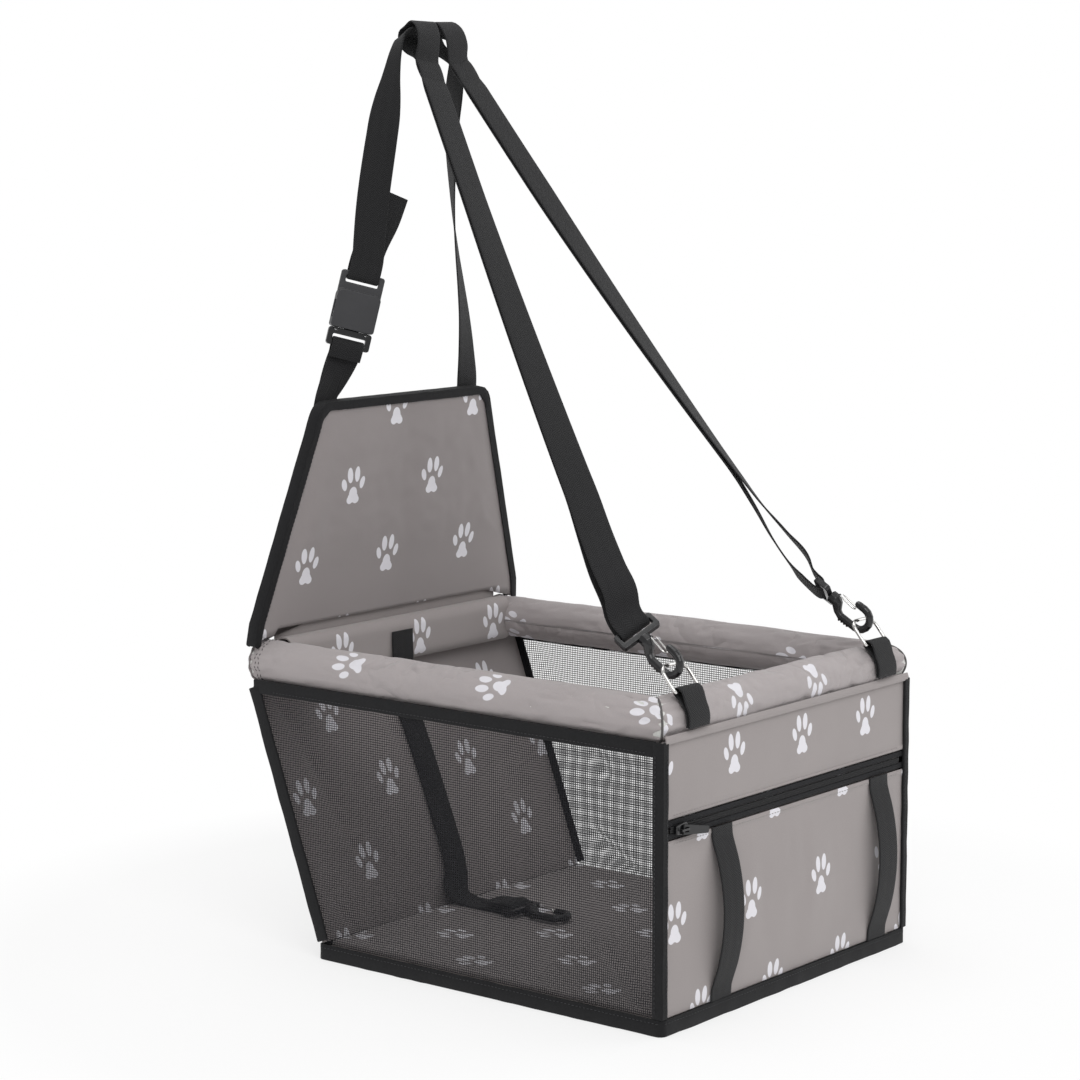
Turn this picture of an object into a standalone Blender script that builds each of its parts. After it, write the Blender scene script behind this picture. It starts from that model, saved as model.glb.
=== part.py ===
"""Dog car seat: an open basket of cloth and net with a padded tube rim, a zip pocket, a backrest and a webbing harness.

Metres, +Z up. The zip pocket faces -Y, the backrest stands at +Y, and the net sides face -X and +X.
The origin is the middle of the basket's bottom face.
"""

import math

import bmesh
import bpy
from mathutils import Matrix, Vector

for leftover in list(bpy.data.objects):
    bpy.data.objects.remove(leftover, do_unlink=True)

# Driving dimensions
basket_width = 0.320
basket_depth = 0.400
rim_height = 0.240
base_depth = 0.330
backrest_height = 0.176
harness_reach = 0.4615
webbing_width = 0.025
webbing_thickness = 0.0014
cloth = 0.0012
seat_gap = 0.0003
binding_width = 0.011
binding_thickness = 0.0022

LEFT, RIGHT = -1, 1
X, Y, Z = Vector((1, 0, 0)), Vector((0, 1, 0)), Vector((0, 0, 1))
side_x = basket_width / 2
front_y = -basket_depth / 2
rear_y = basket_depth / 2
foot_y = front_y + base_depth
skin = binding_thickness + seat_gap


def side_name(side):
    return "left" if side == LEFT else "right"


# Finishes

def finish(name, colour, roughness, metallic=0.0):
    material = bpy.data.materials.new(name)
    material.use_nodes = True
    shader = material.node_tree.nodes["Principled BSDF"]
    shader.inputs["Base Color"].default_value = (*colour, 1.0)
    shader.inputs["Roughness"].default_value = roughness
    shader.inputs["Metallic"].default_value = metallic
    material.diffuse_color = (*colour, 1.0)
    return material


grey_cloth = finish("grey_cloth", (0.27, 0.24, 0.23), 0.85)
rim_cloth = finish("rim_cloth", (0.38, 0.35, 0.34), 0.85)
black_tape = finish("black_tape", (0.02, 0.02, 0.022), 0.8)
black_net = finish("black_net", (0.025, 0.025, 0.027), 0.75)
black_webbing = finish("black_webbing", (0.022, 0.022, 0.025), 0.75)
black_plastic = finish("black_plastic", (0.02, 0.02, 0.021), 0.35)
bright_wire = finish("bright_wire", (0.75, 0.75, 0.76), 0.2, 1.0)
white_pipe = finish("white_pipe", (0.8, 0.8, 0.78), 0.4)
pale_foam = finish("pale_foam", (0.7, 0.7, 0.68), 0.95)
grey_board = finish("grey_board", (0.5, 0.48, 0.45), 0.8)


# Ways of making a solid

smooth_angle = math.radians(40)


def keep(name, shape, material, pivot=None, smooth=False):
    """A named object from a bmesh in world places, with its origin at the pivot."""
    origin = Vector((0, 0, 0)) if pivot is None else Vector(pivot)
    bmesh.ops.recalc_face_normals(shape, faces=shape.faces)
    bmesh.ops.translate(shape, verts=shape.verts, vec=-origin)
    mesh = bpy.data.meshes.new(name)
    shape.to_mesh(mesh)
    shape.free()
    if smooth:
        mesh.shade_smooth()
        mesh.set_sharp_from_angle(angle=smooth_angle)
    mesh.materials.append(material)
    made = bpy.data.objects.new(name, mesh)
    made.location = origin
    bpy.context.scene.collection.objects.link(made)
    return made


def bevel(made, width, segments=1):
    modifier = made.modifiers.new("edges", "BEVEL")
    modifier.width = width
    modifier.segments = segments
    modifier.limit_method = "ANGLE"
    return made


def thicken(made, thickness):
    modifier = made.modifiers.new("sheet", "SOLIDIFY")
    modifier.thickness = thickness
    modifier.offset = 0
    return made


def cut(made, cutter):
    cutter.hide_render = True
    cutter.display_type = "WIRE"
    modifier = made.modifiers.new("cut", "BOOLEAN")
    modifier.operation = "DIFFERENCE"
    modifier.solver = "EXACT"
    modifier.object = cutter
    return made


def weld_on(made, addition):
    addition.hide_render = True
    addition.display_type = "WIRE"
    modifier = made.modifiers.new("join", "BOOLEAN")
    modifier.operation = "UNION"
    modifier.solver = "EXACT"
    modifier.object = addition
    return made


def frame(origin, right, up, out):
    """A matrix that carries local right, up and out onto the given world directions."""
    return Matrix((
        (right.x, up.x, out.x, origin.x),
        (right.y, up.y, out.y, origin.y),
        (right.z, up.z, out.z, origin.z),
        (0, 0, 0, 1),
    ))


def rounded(corners, radius, steps=4):
    """The outline of a polygon whose corners are arcs; radius is one length or one for each corner."""
    count = len(corners)
    radii = radius if isinstance(radius, (list, tuple)) else [radius] * count
    points = []
    for i, corner in enumerate(corners):
        here = Vector(corner)
        if radii[i] == 0:
            points.append(here)
            continue
        to_last = (Vector(corners[i - 1]) - here).normalized()
        to_next = (Vector(corners[(i + 1) % count]) - here).normalized()
        half = to_last.angle(to_next) / 2
        centre = here + (to_last + to_next).normalized() * radii[i] / math.sin(half)
        first = here + to_last * radii[i] / math.tan(half) - centre
        last = here + to_next * radii[i] / math.tan(half) - centre
        for step in range(steps + 1):
            share = step / steps
            spoke = first.lerp(last, share)
            points.append(centre + spoke.normalized() * radii[i])
    return points


def box_outline(low, high):
    return [(low[0], low[1]), (high[0], low[1]), (high[0], high[1]), (low[0], high[1])]


def prism(name, outline, low, high, place, material, pivot=None, smooth=False):
    """An outline in local right and up, extruded along local out from low to high."""
    shape = bmesh.new()
    ring = [shape.verts.new((p[0], p[1], low)) for p in outline]
    floor = shape.faces.new(ring)
    raised = bmesh.ops.extrude_face_region(shape, geom=[floor])
    lifted = [v for v in raised["geom"] if isinstance(v, bmesh.types.BMVert)]
    bmesh.ops.translate(shape, verts=lifted, vec=(0, 0, high - low))
    bmesh.ops.transform(shape, matrix=place, verts=shape.verts)
    return keep(name, shape, material, pivot, smooth)


def curve_through(points, steps):
    """Points of a smooth curve through the given ones, steps to each span."""
    points = [Vector(p) for p in points]
    padded = [points[0] * 2 - points[1], *points, points[-1] * 2 - points[-2]]
    found = []
    for i in range(1, len(padded) - 2):
        a, b, c, d = padded[i - 1 : i + 3]
        for step in range(steps):
            t = step / steps
            found.append(
                (b * 2 + (c - a) * t + (a * 2 - b * 5 + c * 4 - d) * t**2 + (b * 3 - a - c * 3 + d) * t**3) / 2
            )
    found.append(points[-1])
    return found


def loft(rings, inner_rings=None, closed=False, ribbon=False):
    """A shape through rings of points, capped at its ends, or with a bore through the inner rings. A ribbon's two
    broad faces are split along the same diagonals, so that a twist keeps its thickness."""
    shape = bmesh.new()
    outer = [[shape.verts.new(p) for p in ring] for ring in rings]
    inner = [[shape.verts.new(p) for p in ring] for ring in inner_rings or []]
    spans = len(outer) if closed else len(outer) - 1
    for skins, flip in ((outer, False), (inner, True)):
        for i in range(spans if skins else 0):
            here, there = skins[i], skins[(i + 1) % len(skins)]
            for k in range(len(here)):
                m = (k + 1) % len(here)
                quad = [here[k], here[m], there[m], there[k]]
                if ribbon and k % 2 == 0:
                    first, second = (here[k], there[m]) if k == 0 else (here[m], there[k])
                    for corner in quad:
                        if corner not in (first, second):
                            shape.faces.new([v for v in quad if v in (first, second, corner)])
                    continue
                shape.faces.new(quad[::-1] if flip else quad)
    if closed:
        return shape
    for end in (0, -1):
        if not inner:
            shape.faces.new(outer[end])
            continue
        for k in range(len(outer[end])):
            m = (k + 1) % len(outer[end])
            shape.faces.new([outer[end][k], outer[end][m], inner[end][m], inner[end][k]])
    return shape


def sections(path, across, profile, closed=False, widths=None, end_planes=(None, None)):
    """Rings of a profile carried along a path. The profile's first number runs along across, its second along the
    face's normal. Widths stretch the first number, and an end plane's normal turns that end into a mitre."""
    rings = []
    last = len(path) - 1
    for i, here in enumerate(path):
        before = path[i - 1] if i or closed else here
        after = path[(i + 1) % len(path)] if i < last or closed else here
        along = (after - before).normalized()
        side = across[i] if isinstance(across, list) else across
        side = (side - along * side.dot(along)).normalized()
        normal = side.cross(along).normalized()
        stretch = widths[i] if widths else 1
        plane = end_planes[0] if i == 0 else end_planes[1] if i == last else None
        ring = []
        for a, n in profile:
            offset = side * a * stretch + normal * n
            if plane is not None:
                offset -= along * offset.dot(plane) / along.dot(plane)
            ring.append(here + offset)
        rings.append(ring)
    return rings


def circle(radius, sides, turn=0.0):
    return [
        (radius * math.cos(turn + math.tau * k / sides), radius * math.sin(turn + math.tau * k / sides))
        for k in range(sides)
    ]


def strap_profile(width=webbing_width, thickness=webbing_thickness):
    a, n = width / 2, thickness / 2
    return [(-a, -n), (a, -n), (a, n), (-a, n)]


def ribbon(name, path, across, closed=False, widths=None, width=webbing_width):
    shape = loft(sections(path, across, strap_profile(width), closed, widths), closed=closed, ribbon=True)
    return keep(name, shape, black_webbing)


# Base: a cloth tray holds a stiff board under a thin padded floor, and a binding runs round its foot

hem_height = 0.008
base_corner = 0.003
board_thickness = 0.004
floor_edge = 0.005
floor_crown = 0.0035
floor_cells = (12, 14)
base_binding_height = 0.012
pocket_depth = 0.0032
wall_sheet = 0.0024
net_sheet = 0.0012

base_low = (-side_x + skin, front_y + skin)
base_high = (side_x - skin, foot_y - skin)
floor_frame = frame(Vector((0, 0, 0)), X, Y, Z)


def inset_box(low, high, by):
    return [(low[0] + by, low[1] + by), (high[0] - by, high[1] - by)]


def tray(name, low, high, wall, floor, top, material):
    """A box outline with a raised rim of one wall, as a single folded sheet."""
    body = prism(name, rounded(box_outline(low, high), base_corner), 0, top, floor_frame, material)
    hollow = prism(
        name + "_hollow",
        rounded(box_outline(*inset_box(low, high, wall)), base_corner - wall),
        floor,
        top + hem_height,
        floor_frame,
        material,
    )
    return cut(body, hollow)


tray("base_cover", base_low, base_high, cloth, cloth, hem_height, grey_cloth)
inside_low, inside_high = inset_box(base_low, base_high, cloth + seat_gap)
lining_back = skin + 2 * cloth + pocket_depth + seat_gap
pad_low = (base_low[0] + net_sheet + 2 * seat_gap, front_y + lining_back + seat_gap)
pad_high = (base_high[0] - net_sheet - 2 * seat_gap, foot_y - skin - wall_sheet - 2 * seat_gap)
board_bottom = cloth + seat_gap
prism(
    "base_board",
    rounded(box_outline(inside_low, inside_high), base_corner - cloth - seat_gap),
    board_bottom,
    board_bottom + board_thickness,
    floor_frame,
    grey_board,
)


def floor_pad():
    """The padded floor: a flat underside, thin edges, and a low crown that rises from all four sides."""
    bottom = board_bottom + board_thickness + seat_gap
    across, along = floor_cells
    shape = bmesh.new()
    levels = []
    for upper in (False, True):
        rows = []
        for j in range(along + 1):
            row = []
            for i in range(across + 1):
                u, v = i / across, j / along
                x = pad_low[0] + (pad_high[0] - pad_low[0]) * u
                y = pad_low[1] + (pad_high[1] - pad_low[1]) * v
                rise = (math.sin(math.pi * u) * math.sin(math.pi * v)) ** 0.35
                row.append(shape.verts.new((x, y, bottom + upper * (floor_edge + floor_crown * rise))))
            rows.append(row)
        levels.append(rows)
    top = levels[1]
    for j in range(along):
        for i in range(across):
            shape.faces.new([top[j][i], top[j][i + 1], top[j + 1][i + 1], top[j + 1][i]])
    edge = [(0, i) for i in range(across)] + [(j, across) for j in range(along)]
    edge += [(along, i) for i in range(across, 0, -1)] + [(j, 0) for j in range(along, 0, -1)]
    for k, (j, i) in enumerate(edge):
        m, n = edge[(k + 1) % len(edge)]
        shape.faces.new([levels[0][j][i], levels[0][m][n], top[m][n], top[j][i]])
    shape.faces.new([levels[0][j][i] for j, i in edge])
    spare = [v for v in shape.verts if not v.link_faces]
    bmesh.ops.delete(shape, geom=spare, context="VERTS")
    return keep("floor_pad", shape, grey_cloth, smooth=True)


floor_pad()
base_binding = prism(
    "base_binding",
    rounded(box_outline((-side_x, front_y), (side_x, foot_y)), base_corner + skin),
    0,
    base_binding_height,
    floor_frame,
    black_tape,
)
base_window = prism(
    "base_binding_window",
    rounded(box_outline(*inset_box((-side_x, front_y), (side_x, foot_y), binding_thickness)), base_corner + seat_gap),
    -base_binding_height,
    base_binding_height + hem_height,
    floor_frame,
    black_tape,
)
cut(base_binding, base_window)

# Walls: thin cloth sheets that stand inside the bindings, and net at the two sides

tube_radius = 0.018
wall_foot = base_binding_height + seat_gap
wall_top = rim_height - 2 * tube_radius - seat_gap
outer_inset = skin + cloth - tube_radius
outer_top = rim_height - tube_radius - math.sqrt(tube_radius**2 - outer_inset**2) - seat_gap
rear_top_y = rear_y - seat_gap
pocket_bulge = 0.004
zip_height = 0.147
zip_width = 0.013
net_cells = (9, 6)
net_strand = 0.0022
wall_half = side_x - skin

front_frame = frame(Vector((0, front_y, 0)), X, Z, -Y)
lining_face = cloth - lining_back
bulge_half = side_x - binding_width


def swell_at(x):
    """The panels' swelling across their width: none under the corner bindings, and all of it in the middle."""
    return math.cos(math.pi / 2 * min(1, abs(x) / bulge_half))


def front_panel(name, bottom, top, bulge, cells=(12, 4)):
    """A cloth panel of the zip pocket that swells a little towards its middle."""
    shape = bmesh.new()
    columns, rows = cells
    grid = []
    for j in range(rows + 1):
        row = []
        for i in range(columns + 1):
            v = j / rows
            x = -wall_half + 2 * wall_half * i / columns
            swell = bulge * swell_at(x) * math.sin(math.pi * v)
            row.append(shape.verts.new((x, front_y + skin + cloth - swell, bottom + (top - bottom) * v)))
        grid.append(row)
    for j in range(rows):
        for i in range(columns):
            shape.faces.new([grid[j][i], grid[j][i + 1], grid[j + 1][i + 1], grid[j + 1][i]])
    raised = bmesh.ops.extrude_face_region(shape, geom=list(shape.faces))
    outer = [v for v in raised["geom"] if isinstance(v, bmesh.types.BMVert)]
    bmesh.ops.translate(shape, verts=outer, vec=(0, -cloth, 0))
    return keep(name, shape, grey_cloth, smooth=True)


prism(
    "front_lining",
    box_outline((-wall_half, wall_foot), (wall_half, wall_top)),
    lining_face - cloth,
    lining_face,
    front_frame,
    grey_cloth,
)
zip_low, zip_top = zip_height - zip_width / 2, zip_height + zip_width / 2
front_panel("pocket_panel", wall_foot, zip_low - seat_gap, pocket_bulge, (14, 6))
front_panel("pocket_flap", zip_top + seat_gap, outer_top, pocket_bulge / 4)

rear_foot = Vector((0, foot_y - skin, wall_foot))
rear_head = Vector((0, rear_top_y - skin, wall_top))
rear_up = (rear_head - rear_foot).normalized()
rear_out = X.cross(rear_up) * -1
rear_length = (rear_head - rear_foot).length
rear_frame = frame(rear_foot, -X, rear_up, rear_out)
rear_clear = 0.0012
prism(
    "rear_wall",
    box_outline((-wall_half, rear_clear), (wall_half, rear_length)),
    -wall_sheet,
    0,
    rear_frame,
    grey_cloth,
)


def net_panel(side):
    """One net side: a sheet of strands with a grid of openings, whose rear edge slopes with the rear wall."""
    shape = bmesh.new()
    columns, rows = net_cells
    front = front_y + lining_back + seat_gap
    net_top = outer_top
    slope = (rear_head.y - rear_foot.y) / (rear_head.z - rear_foot.z)
    grid = []
    for j in range(rows + 1):
        z = wall_foot + (net_top - wall_foot) * j / rows
        back = rear_foot.y + slope * (z - wall_foot) - wall_sheet - binding_thickness
        grid.append([shape.verts.new((0, front + (back - front) * i / columns, z)) for i in range(columns + 1)])
    for j in range(rows):
        for i in range(columns):
            shape.faces.new([grid[j][i], grid[j][i + 1], grid[j + 1][i + 1], grid[j + 1][i]])
    cells = list(shape.faces)
    shape.normal_update()
    bmesh.ops.inset_individual(shape, faces=cells, thickness=net_strand / 2, use_even_offset=True)
    bmesh.ops.delete(shape, geom=cells, context="FACES")
    bmesh.ops.translate(shape, verts=shape.verts, vec=(side * (wall_half - net_sheet / 2), 0, 0))
    return thicken(keep("net_" + side_name(side), shape, black_net), net_sheet)


def corner_binding(name, side, low, high, rear):
    """Folded tape over a corner of the walls: an L whose legs lie on the net and on the front or rear wall."""
    along = (high - low).normalized()
    inner = -rear_out if rear else Y
    leg, thick = binding_width, binding_thickness
    outline = [(0, 0), (leg, 0), (leg, thick), (thick, thick), (thick, leg), (0, leg)]
    rings = [[end - X * side * a + inner * b for a, b in outline] for end in (low, high)]
    made = keep(name, loft(rings), black_tape)
    return bevel(made, thick / 4)


binding_foot = wall_foot
binding_head = outer_top
for side in (LEFT, RIGHT):
    net_panel(side)
    corner = Vector((side * side_x, front_y, 0))
    low, high = corner + Z * binding_foot, corner + Z * binding_head
    corner_binding("front_binding_" + side_name(side), side, low, high, False)
    rear_line = Vector((side * side_x, 0, 0)) + rear_out * skin
    low = rear_line + rear_foot + rear_up * rear_clear
    high = rear_line + rear_head
    corner_binding("rear_binding_" + side_name(side), side, low, high, True)
    front_end = front_y + binding_width + seat_gap
    rear_end = high.y - 2 * binding_width
    top_edge = prism(
        "net_binding_" + side_name(side),
        box_outline((front_end, outer_top - binding_width), (rear_end, outer_top)),
        0,
        binding_thickness,
        frame(Vector((side * (side_x - (binding_thickness if side == RIGHT else 0)), 0, 0)), Y, Z, X),
        black_tape,
    )
    bevel(top_edge, binding_thickness / 4)

# Rim: padded cloth tubes round three sides, mitred at the front corners, each with foam round a plastic pipe

sleeve_sides = 18
foam_sides = 12
pipe_radius = 0.008
pipe_wall = 0.0015
rim_rear = rear_y - seat_gap
rim_swell = 0.0006
rim_steps = 6
tube_x = side_x - tube_radius
tube_y = front_y + tube_radius
tube_z = rim_height - tube_radius
pipe_end_gap = 0.010
mitre_slit = 0.0005
foam_radius = tube_radius - cloth - 2 * seat_gap
foam_bore = (pipe_radius + seat_gap) / math.cos(math.pi / foam_sides)


def rim_tube(name, path, across, planes, outer, inner, sides, material):
    """A tube along one rim side, whose outside swells a little between its ends where it has steps there."""
    rings = []
    bores = []
    for i in range(len(path)):
        radius = outer - rim_swell + rim_swell * math.sin(math.pi * i / (len(path) - 1))
        rings.append(sections(path, across, circle(radius, sides), end_planes=planes)[i])
        bores.append(sections(path, across, circle(inner, sides), end_planes=planes)[i])
    return keep(name, loft(rings, bores), material, smooth=True)


def line(start, end, steps):
    return [start.lerp(end, i / steps) for i in range(steps + 1)]


front_left = Vector((-tube_x, tube_y, tube_z))
front_right = Vector((tube_x, tube_y, tube_z))
left_plane, right_plane = Vector((1, -1, 0)).normalized(), Vector((1, 1, 0)).normalized()
rim_runs = {
    "front": (front_left + X * mitre_slit, front_right - X * mitre_slit, Z, (left_plane, right_plane)),
    "left": (front_left + Y * mitre_slit, Vector((-tube_x, rim_rear, tube_z)), Z, (left_plane, None)),
    "right": (front_right + Y * mitre_slit, Vector((tube_x, rim_rear, tube_z)), Z, (right_plane, None)),
}
for place, (start, end, across, planes) in rim_runs.items():
    path = line(start, end, rim_steps)
    sleeve_inside = tube_radius - rim_swell - cloth
    rim_tube("rim_sleeve_" + place, path, across, planes, tube_radius, sleeve_inside, sleeve_sides, rim_cloth)
    rim_tube("rim_foam_" + place, [start, end], across, planes, foam_radius, foam_bore, foam_sides, pale_foam)
    along = (end - start).normalized()
    near = start + along * pipe_end_gap
    far = end - along * (pipe_end_gap if place == "front" else 0)
    pipe_path = [near, far]
    pipe = loft(
        sections(pipe_path, across, circle(pipe_radius, 12)),
        sections(pipe_path, across, circle(pipe_radius - pipe_wall, 12)),
    )
    keep("rim_pipe_" + place, pipe, white_pipe, smooth=True)

# Rear channel: a flat cloth sleeve between the side tubes that holds the rear pipe under the backrest

seam_rise = 0.0065
seam_inset = 0.003
seam_z = rim_height + seam_rise
seam_y = rear_y - seam_inset
hinge_tape = 0.0016
channel_top = rim_height + seat_gap
channel_height = channel_top - wall_top - seat_gap
channel_thickness = 2 * (pipe_radius + cloth + seat_gap)
channel_half = tube_x - tube_radius - seat_gap
channel_rear = seam_y + seat_gap
channel_middle = Vector((0, channel_rear - channel_thickness / 2, channel_top - channel_height / 2))
channel_frame = frame(channel_middle, Y, Z, X)
half_thick, half_high = channel_thickness / 2, channel_height / 2
channel_outer = rounded(box_outline((-half_thick, -half_high), (half_thick, half_high)), half_thick - cloth)
channel_inner = rounded(
    box_outline((-half_thick + cloth, -half_high + cloth), (half_thick - cloth, half_high - cloth)),
    half_thick - 2 * cloth,
)


def ring_at(outline, place, out):
    return [place @ Vector((p[0], p[1], out)) for p in outline]


channel = keep(
    "rear_channel",
    loft(
        [ring_at(channel_outer, channel_frame, -channel_half), ring_at(channel_outer, channel_frame, channel_half)],
        [ring_at(channel_inner, channel_frame, -channel_half), ring_at(channel_inner, channel_frame, channel_half)],
    ),
    grey_cloth,
    smooth=True,
)
tape_low, tape_high = channel_middle.z - half_thick, seam_z - seat_gap
weld_on(channel, prism(
    "hinge_tape",
    box_outline((seam_y - seat_gap, tape_low), (seam_y - seat_gap + hinge_tape, tape_high)),
    -channel_half,
    channel_half,
    frame(Vector((0, 0, 0)), Y, Z, X),
    grey_cloth,
))
rear_pipe_path = [channel_middle - X * (channel_half - cloth), channel_middle + X * (channel_half - cloth)]
keep(
    "rear_pipe",
    loft(
        sections(rear_pipe_path, Z, circle(pipe_radius, 12)),
        sections(rear_pipe_path, Z, circle(pipe_radius - pipe_wall, 12)),
    ),
    white_pipe,
    smooth=True,
)

# Zip: two tapes, a toothed chain between them, and a slider with its pull

tape_thickness = 0.0014
chain_width = 0.0046
chain_height = 0.0022
tooth_pitch = 0.009
tooth_depth = 0.0008
zip_half = wall_half - seat_gap
tape_back = -skin - cloth
for name, low, high in (
    ("zip_tape_lower", zip_low, zip_height - chain_width / 2 - seat_gap),
    ("zip_tape_upper", zip_height + chain_width / 2 + seat_gap, zip_top),
):
    prism(name, box_outline((-zip_half, low), (zip_half, high)), tape_back, tape_back + tape_thickness, front_frame,
          black_tape)


def toothed_edge(half, teeth):
    """The chain's outline: square teeth along both edges."""
    step = 2 * half / teeth
    upper = []
    for k in range(teeth):
        start = -half + k * step
        root, tip = chain_width / 2 - tooth_depth, chain_width / 2
        upper += [(start, root), (start + step / 2, root), (start + step / 2, tip), (start + step, tip)]
    return upper


chain_half = side_x - binding_width - seat_gap
upper = toothed_edge(chain_half, round(2 * chain_half / tooth_pitch))
chain_outline = [(x, zip_height - z) for x, z in upper] + [(x, zip_height + z) for x, z in reversed(upper)]
prism("zip_chain", chain_outline, tape_back, tape_back + chain_height, front_frame, black_plastic)

slider_length = 0.013
slider_width = 0.0095
slider_height = 0.0034
slider_home = -wall_half + binding_width + slider_length / 2
slider_face = tape_back + chain_height + seat_gap
bridge_rise = 0.0034
bridge_bar = 0.0013
bridge_half = 0.0008
pull_length = 0.030
pull_width = 0.0075
pull_thickness = 0.0014
pull_droop = math.radians(10)
pull_bar = 0.0006
nose, tail = slider_length / 2, -slider_length / 2
slider_outline = rounded(
    [(tail, -slider_width / 3), (nose, -slider_width / 2), (nose, slider_width / 2), (tail, slider_width / 3)],
    slider_width / 6,
    3,
)
slider_place = frame(Vector((slider_home, front_y, zip_height)), X, Z, -Y)
slider = prism(
    "zip_slider", slider_outline, slider_face, slider_face + slider_height, slider_place, black_plastic,
    slider_place.translation,
)
bevel(slider, slider_height / 6)
bridge_top = slider_face + slider_height + bridge_rise
bridge_side = [
    (-slider_length / 3, slider_face + slider_height / 2),
    (-slider_length / 3, bridge_top),
    (slider_length / 3, bridge_top),
    (slider_length / 3, slider_face + slider_height / 2),
    (slider_length / 3 - bridge_bar, slider_face + slider_height / 2),
    (slider_length / 3 - bridge_bar, bridge_top - bridge_bar),
    (-slider_length / 3 + bridge_bar, bridge_top - bridge_bar),
    (-slider_length / 3 + bridge_bar, slider_face + slider_height / 2),
]
bridge = prism(
    "zip_bridge", bridge_side, -bridge_half, bridge_half,
    frame(slider_place.translation, X, -Y, -Z), black_plastic,
)
weld_on(slider, bridge)

pull_pivot = slider_place.translation - Y * (bridge_top - bridge_bar - pull_thickness / 2 - seat_gap)
pull_along = X * math.cos(pull_droop) - Z * math.sin(pull_droop)
pull_across = X * math.sin(pull_droop) + Z * math.cos(pull_droop)
pull_frame = frame(pull_pivot, pull_along, pull_across, -Y)
slot_reach = slider_length / 3 + bridge_bar
slot_half = bridge_half + slider_length / 3 * math.sin(pull_droop) + seat_gap
pull_outline = rounded(
    [
        (-pull_bar, -pull_width / 2),
        (pull_length, -pull_width / 3),
        (pull_length, pull_width / 3),
        (-pull_bar, pull_width / 2),
    ],
    [0, pull_width / 5, pull_width / 5, 0],
    3,
)
pull_half = pull_thickness / 2
pull = prism("zip_pull", pull_outline, -pull_half, pull_half, pull_frame, black_plastic, pull_pivot)
pull_hole = prism(
    "zip_pull_hole",
    box_outline((pull_bar, -slot_half), (slot_reach, slot_half)),
    -pull_thickness,
    pull_thickness,
    pull_frame,
    black_plastic,
)
cut(pull, pull_hole)

# Belt loops: webbing sewn at its ends to the pocket's lower panel, standing off it between them

loop_off = 0.0085
left_loop_x = -0.088
right_loop_x = 0.118
loop_x = {LEFT: left_loop_x, RIGHT: right_loop_x}
loop_sewn = 0.012
loop_steps = 16
panel_face = front_y + skin


def panel_out(x, z):
    """How far the bulging lower panel stands out at a place."""
    v = (z - wall_foot) / (zip_low - seat_gap - wall_foot)
    return pocket_bulge * swell_at(x) * math.sin(math.pi * max(0, min(1, v)))


for side in (LEFT, RIGHT):
    top, bottom = zip_low - 2 * seat_gap, binding_foot
    path = []
    for i in range(loop_steps + 1):
        z = top + (bottom - top) * i / loop_steps
        reach = max(0, min(1, (top - z - loop_sewn) / (top - bottom - 2 * loop_sewn)))
        off = loop_off * math.sin(math.pi * reach) ** 0.7
        x = loop_x[side]
        bulge = max(panel_out(x + edge * webbing_width / 2, z) for edge in (-1, 0, 1))
        y = panel_face - bulge - seat_gap * 2 - webbing_thickness / 2 - off
        path.append(Vector((x, y, z)))
    ribbon("belt_loop_" + side_name(side), path, X)

# Ring tabs and rings: doubled webbing sewn to the front tube holds a wire ring that tilts

ring_x = 0.122
wire_radius = 0.0015
ring_reach = 0.022
ring_play = 0.001
ring_inside = webbing_width + ring_play
ring_lean = math.radians(50)
tab_turn = math.radians(62)
tab_foot_turn = math.radians(-12)
tab_lift = tube_radius + 2 * seat_gap + webbing_thickness / 2
ring_lift = tab_lift + webbing_thickness + wire_radius + 2 * seat_gap
tab_steps = 7
wrap_steps = 6
wrap_play = 0.0006


def on_front_tube(turn, lift, x):
    return Vector((x, tube_y - lift * math.cos(turn), tube_z + lift * math.sin(turn)))


def wrap(centre, toward, out, radius, steps, start, end):
    """Arc points round a bar, turning from the out direction over the toward direction."""
    return [
        centre + out * radius * math.cos(start + (end - start) * k / steps)
        + toward * radius * math.sin(start + (end - start) * k / steps)
        for k in range(steps + 1)
    ]


def ring_pivot(side):
    return on_front_tube(tab_turn, ring_lift, side * ring_x)


def ring_tab(side):
    x = side * ring_x
    turns = [tab_foot_turn + (tab_turn - tab_foot_turn) * k / tab_steps for k in range(tab_steps)]
    inner = [on_front_tube(turn, tab_lift, x) for turn in turns]
    outer = [on_front_tube(turn, tab_lift + webbing_thickness + 2 * seat_gap, x) for turn in turns[:-2]]
    outward = Vector((0, -math.cos(tab_turn), math.sin(tab_turn)))
    onward = Vector((0, math.sin(tab_turn), math.cos(tab_turn)))
    hug = wire_radius + wrap_play + seat_gap + webbing_thickness / 2
    bend = wrap(ring_pivot(side), onward, -outward, hug, wrap_steps, 0, math.pi)
    ribbon("ring_tab_" + side_name(side), inner + bend + outer[::-1], X)


def wire_ring(side):
    """A closed wire: a straight bar through the tab, two short arms and a rounded far end."""
    pivot = ring_pivot(side)
    lean = Vector((0, math.cos(ring_lean), math.sin(ring_lean)))
    half = ring_inside / 2 + wire_radius
    corners = [(-half, 0), (half, 0), (half, ring_reach), (-half, ring_reach)]
    outline = rounded(corners, [wire_radius * 1.4, wire_radius * 1.4, half / 2, half / 2], 4)
    path = [pivot + X * a + lean * b for a, b in outline]
    out = X.cross(lean)
    shape = loft(sections(path, out, circle(wire_radius, 8), closed=True), closed=True)
    keep("ring_" + side_name(side), shape, bright_wire, pivot, smooth=True)


# Snap hooks: a webbing eye on a stem, a moulded hook that swivels on it, and a sprung wire gate

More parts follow.
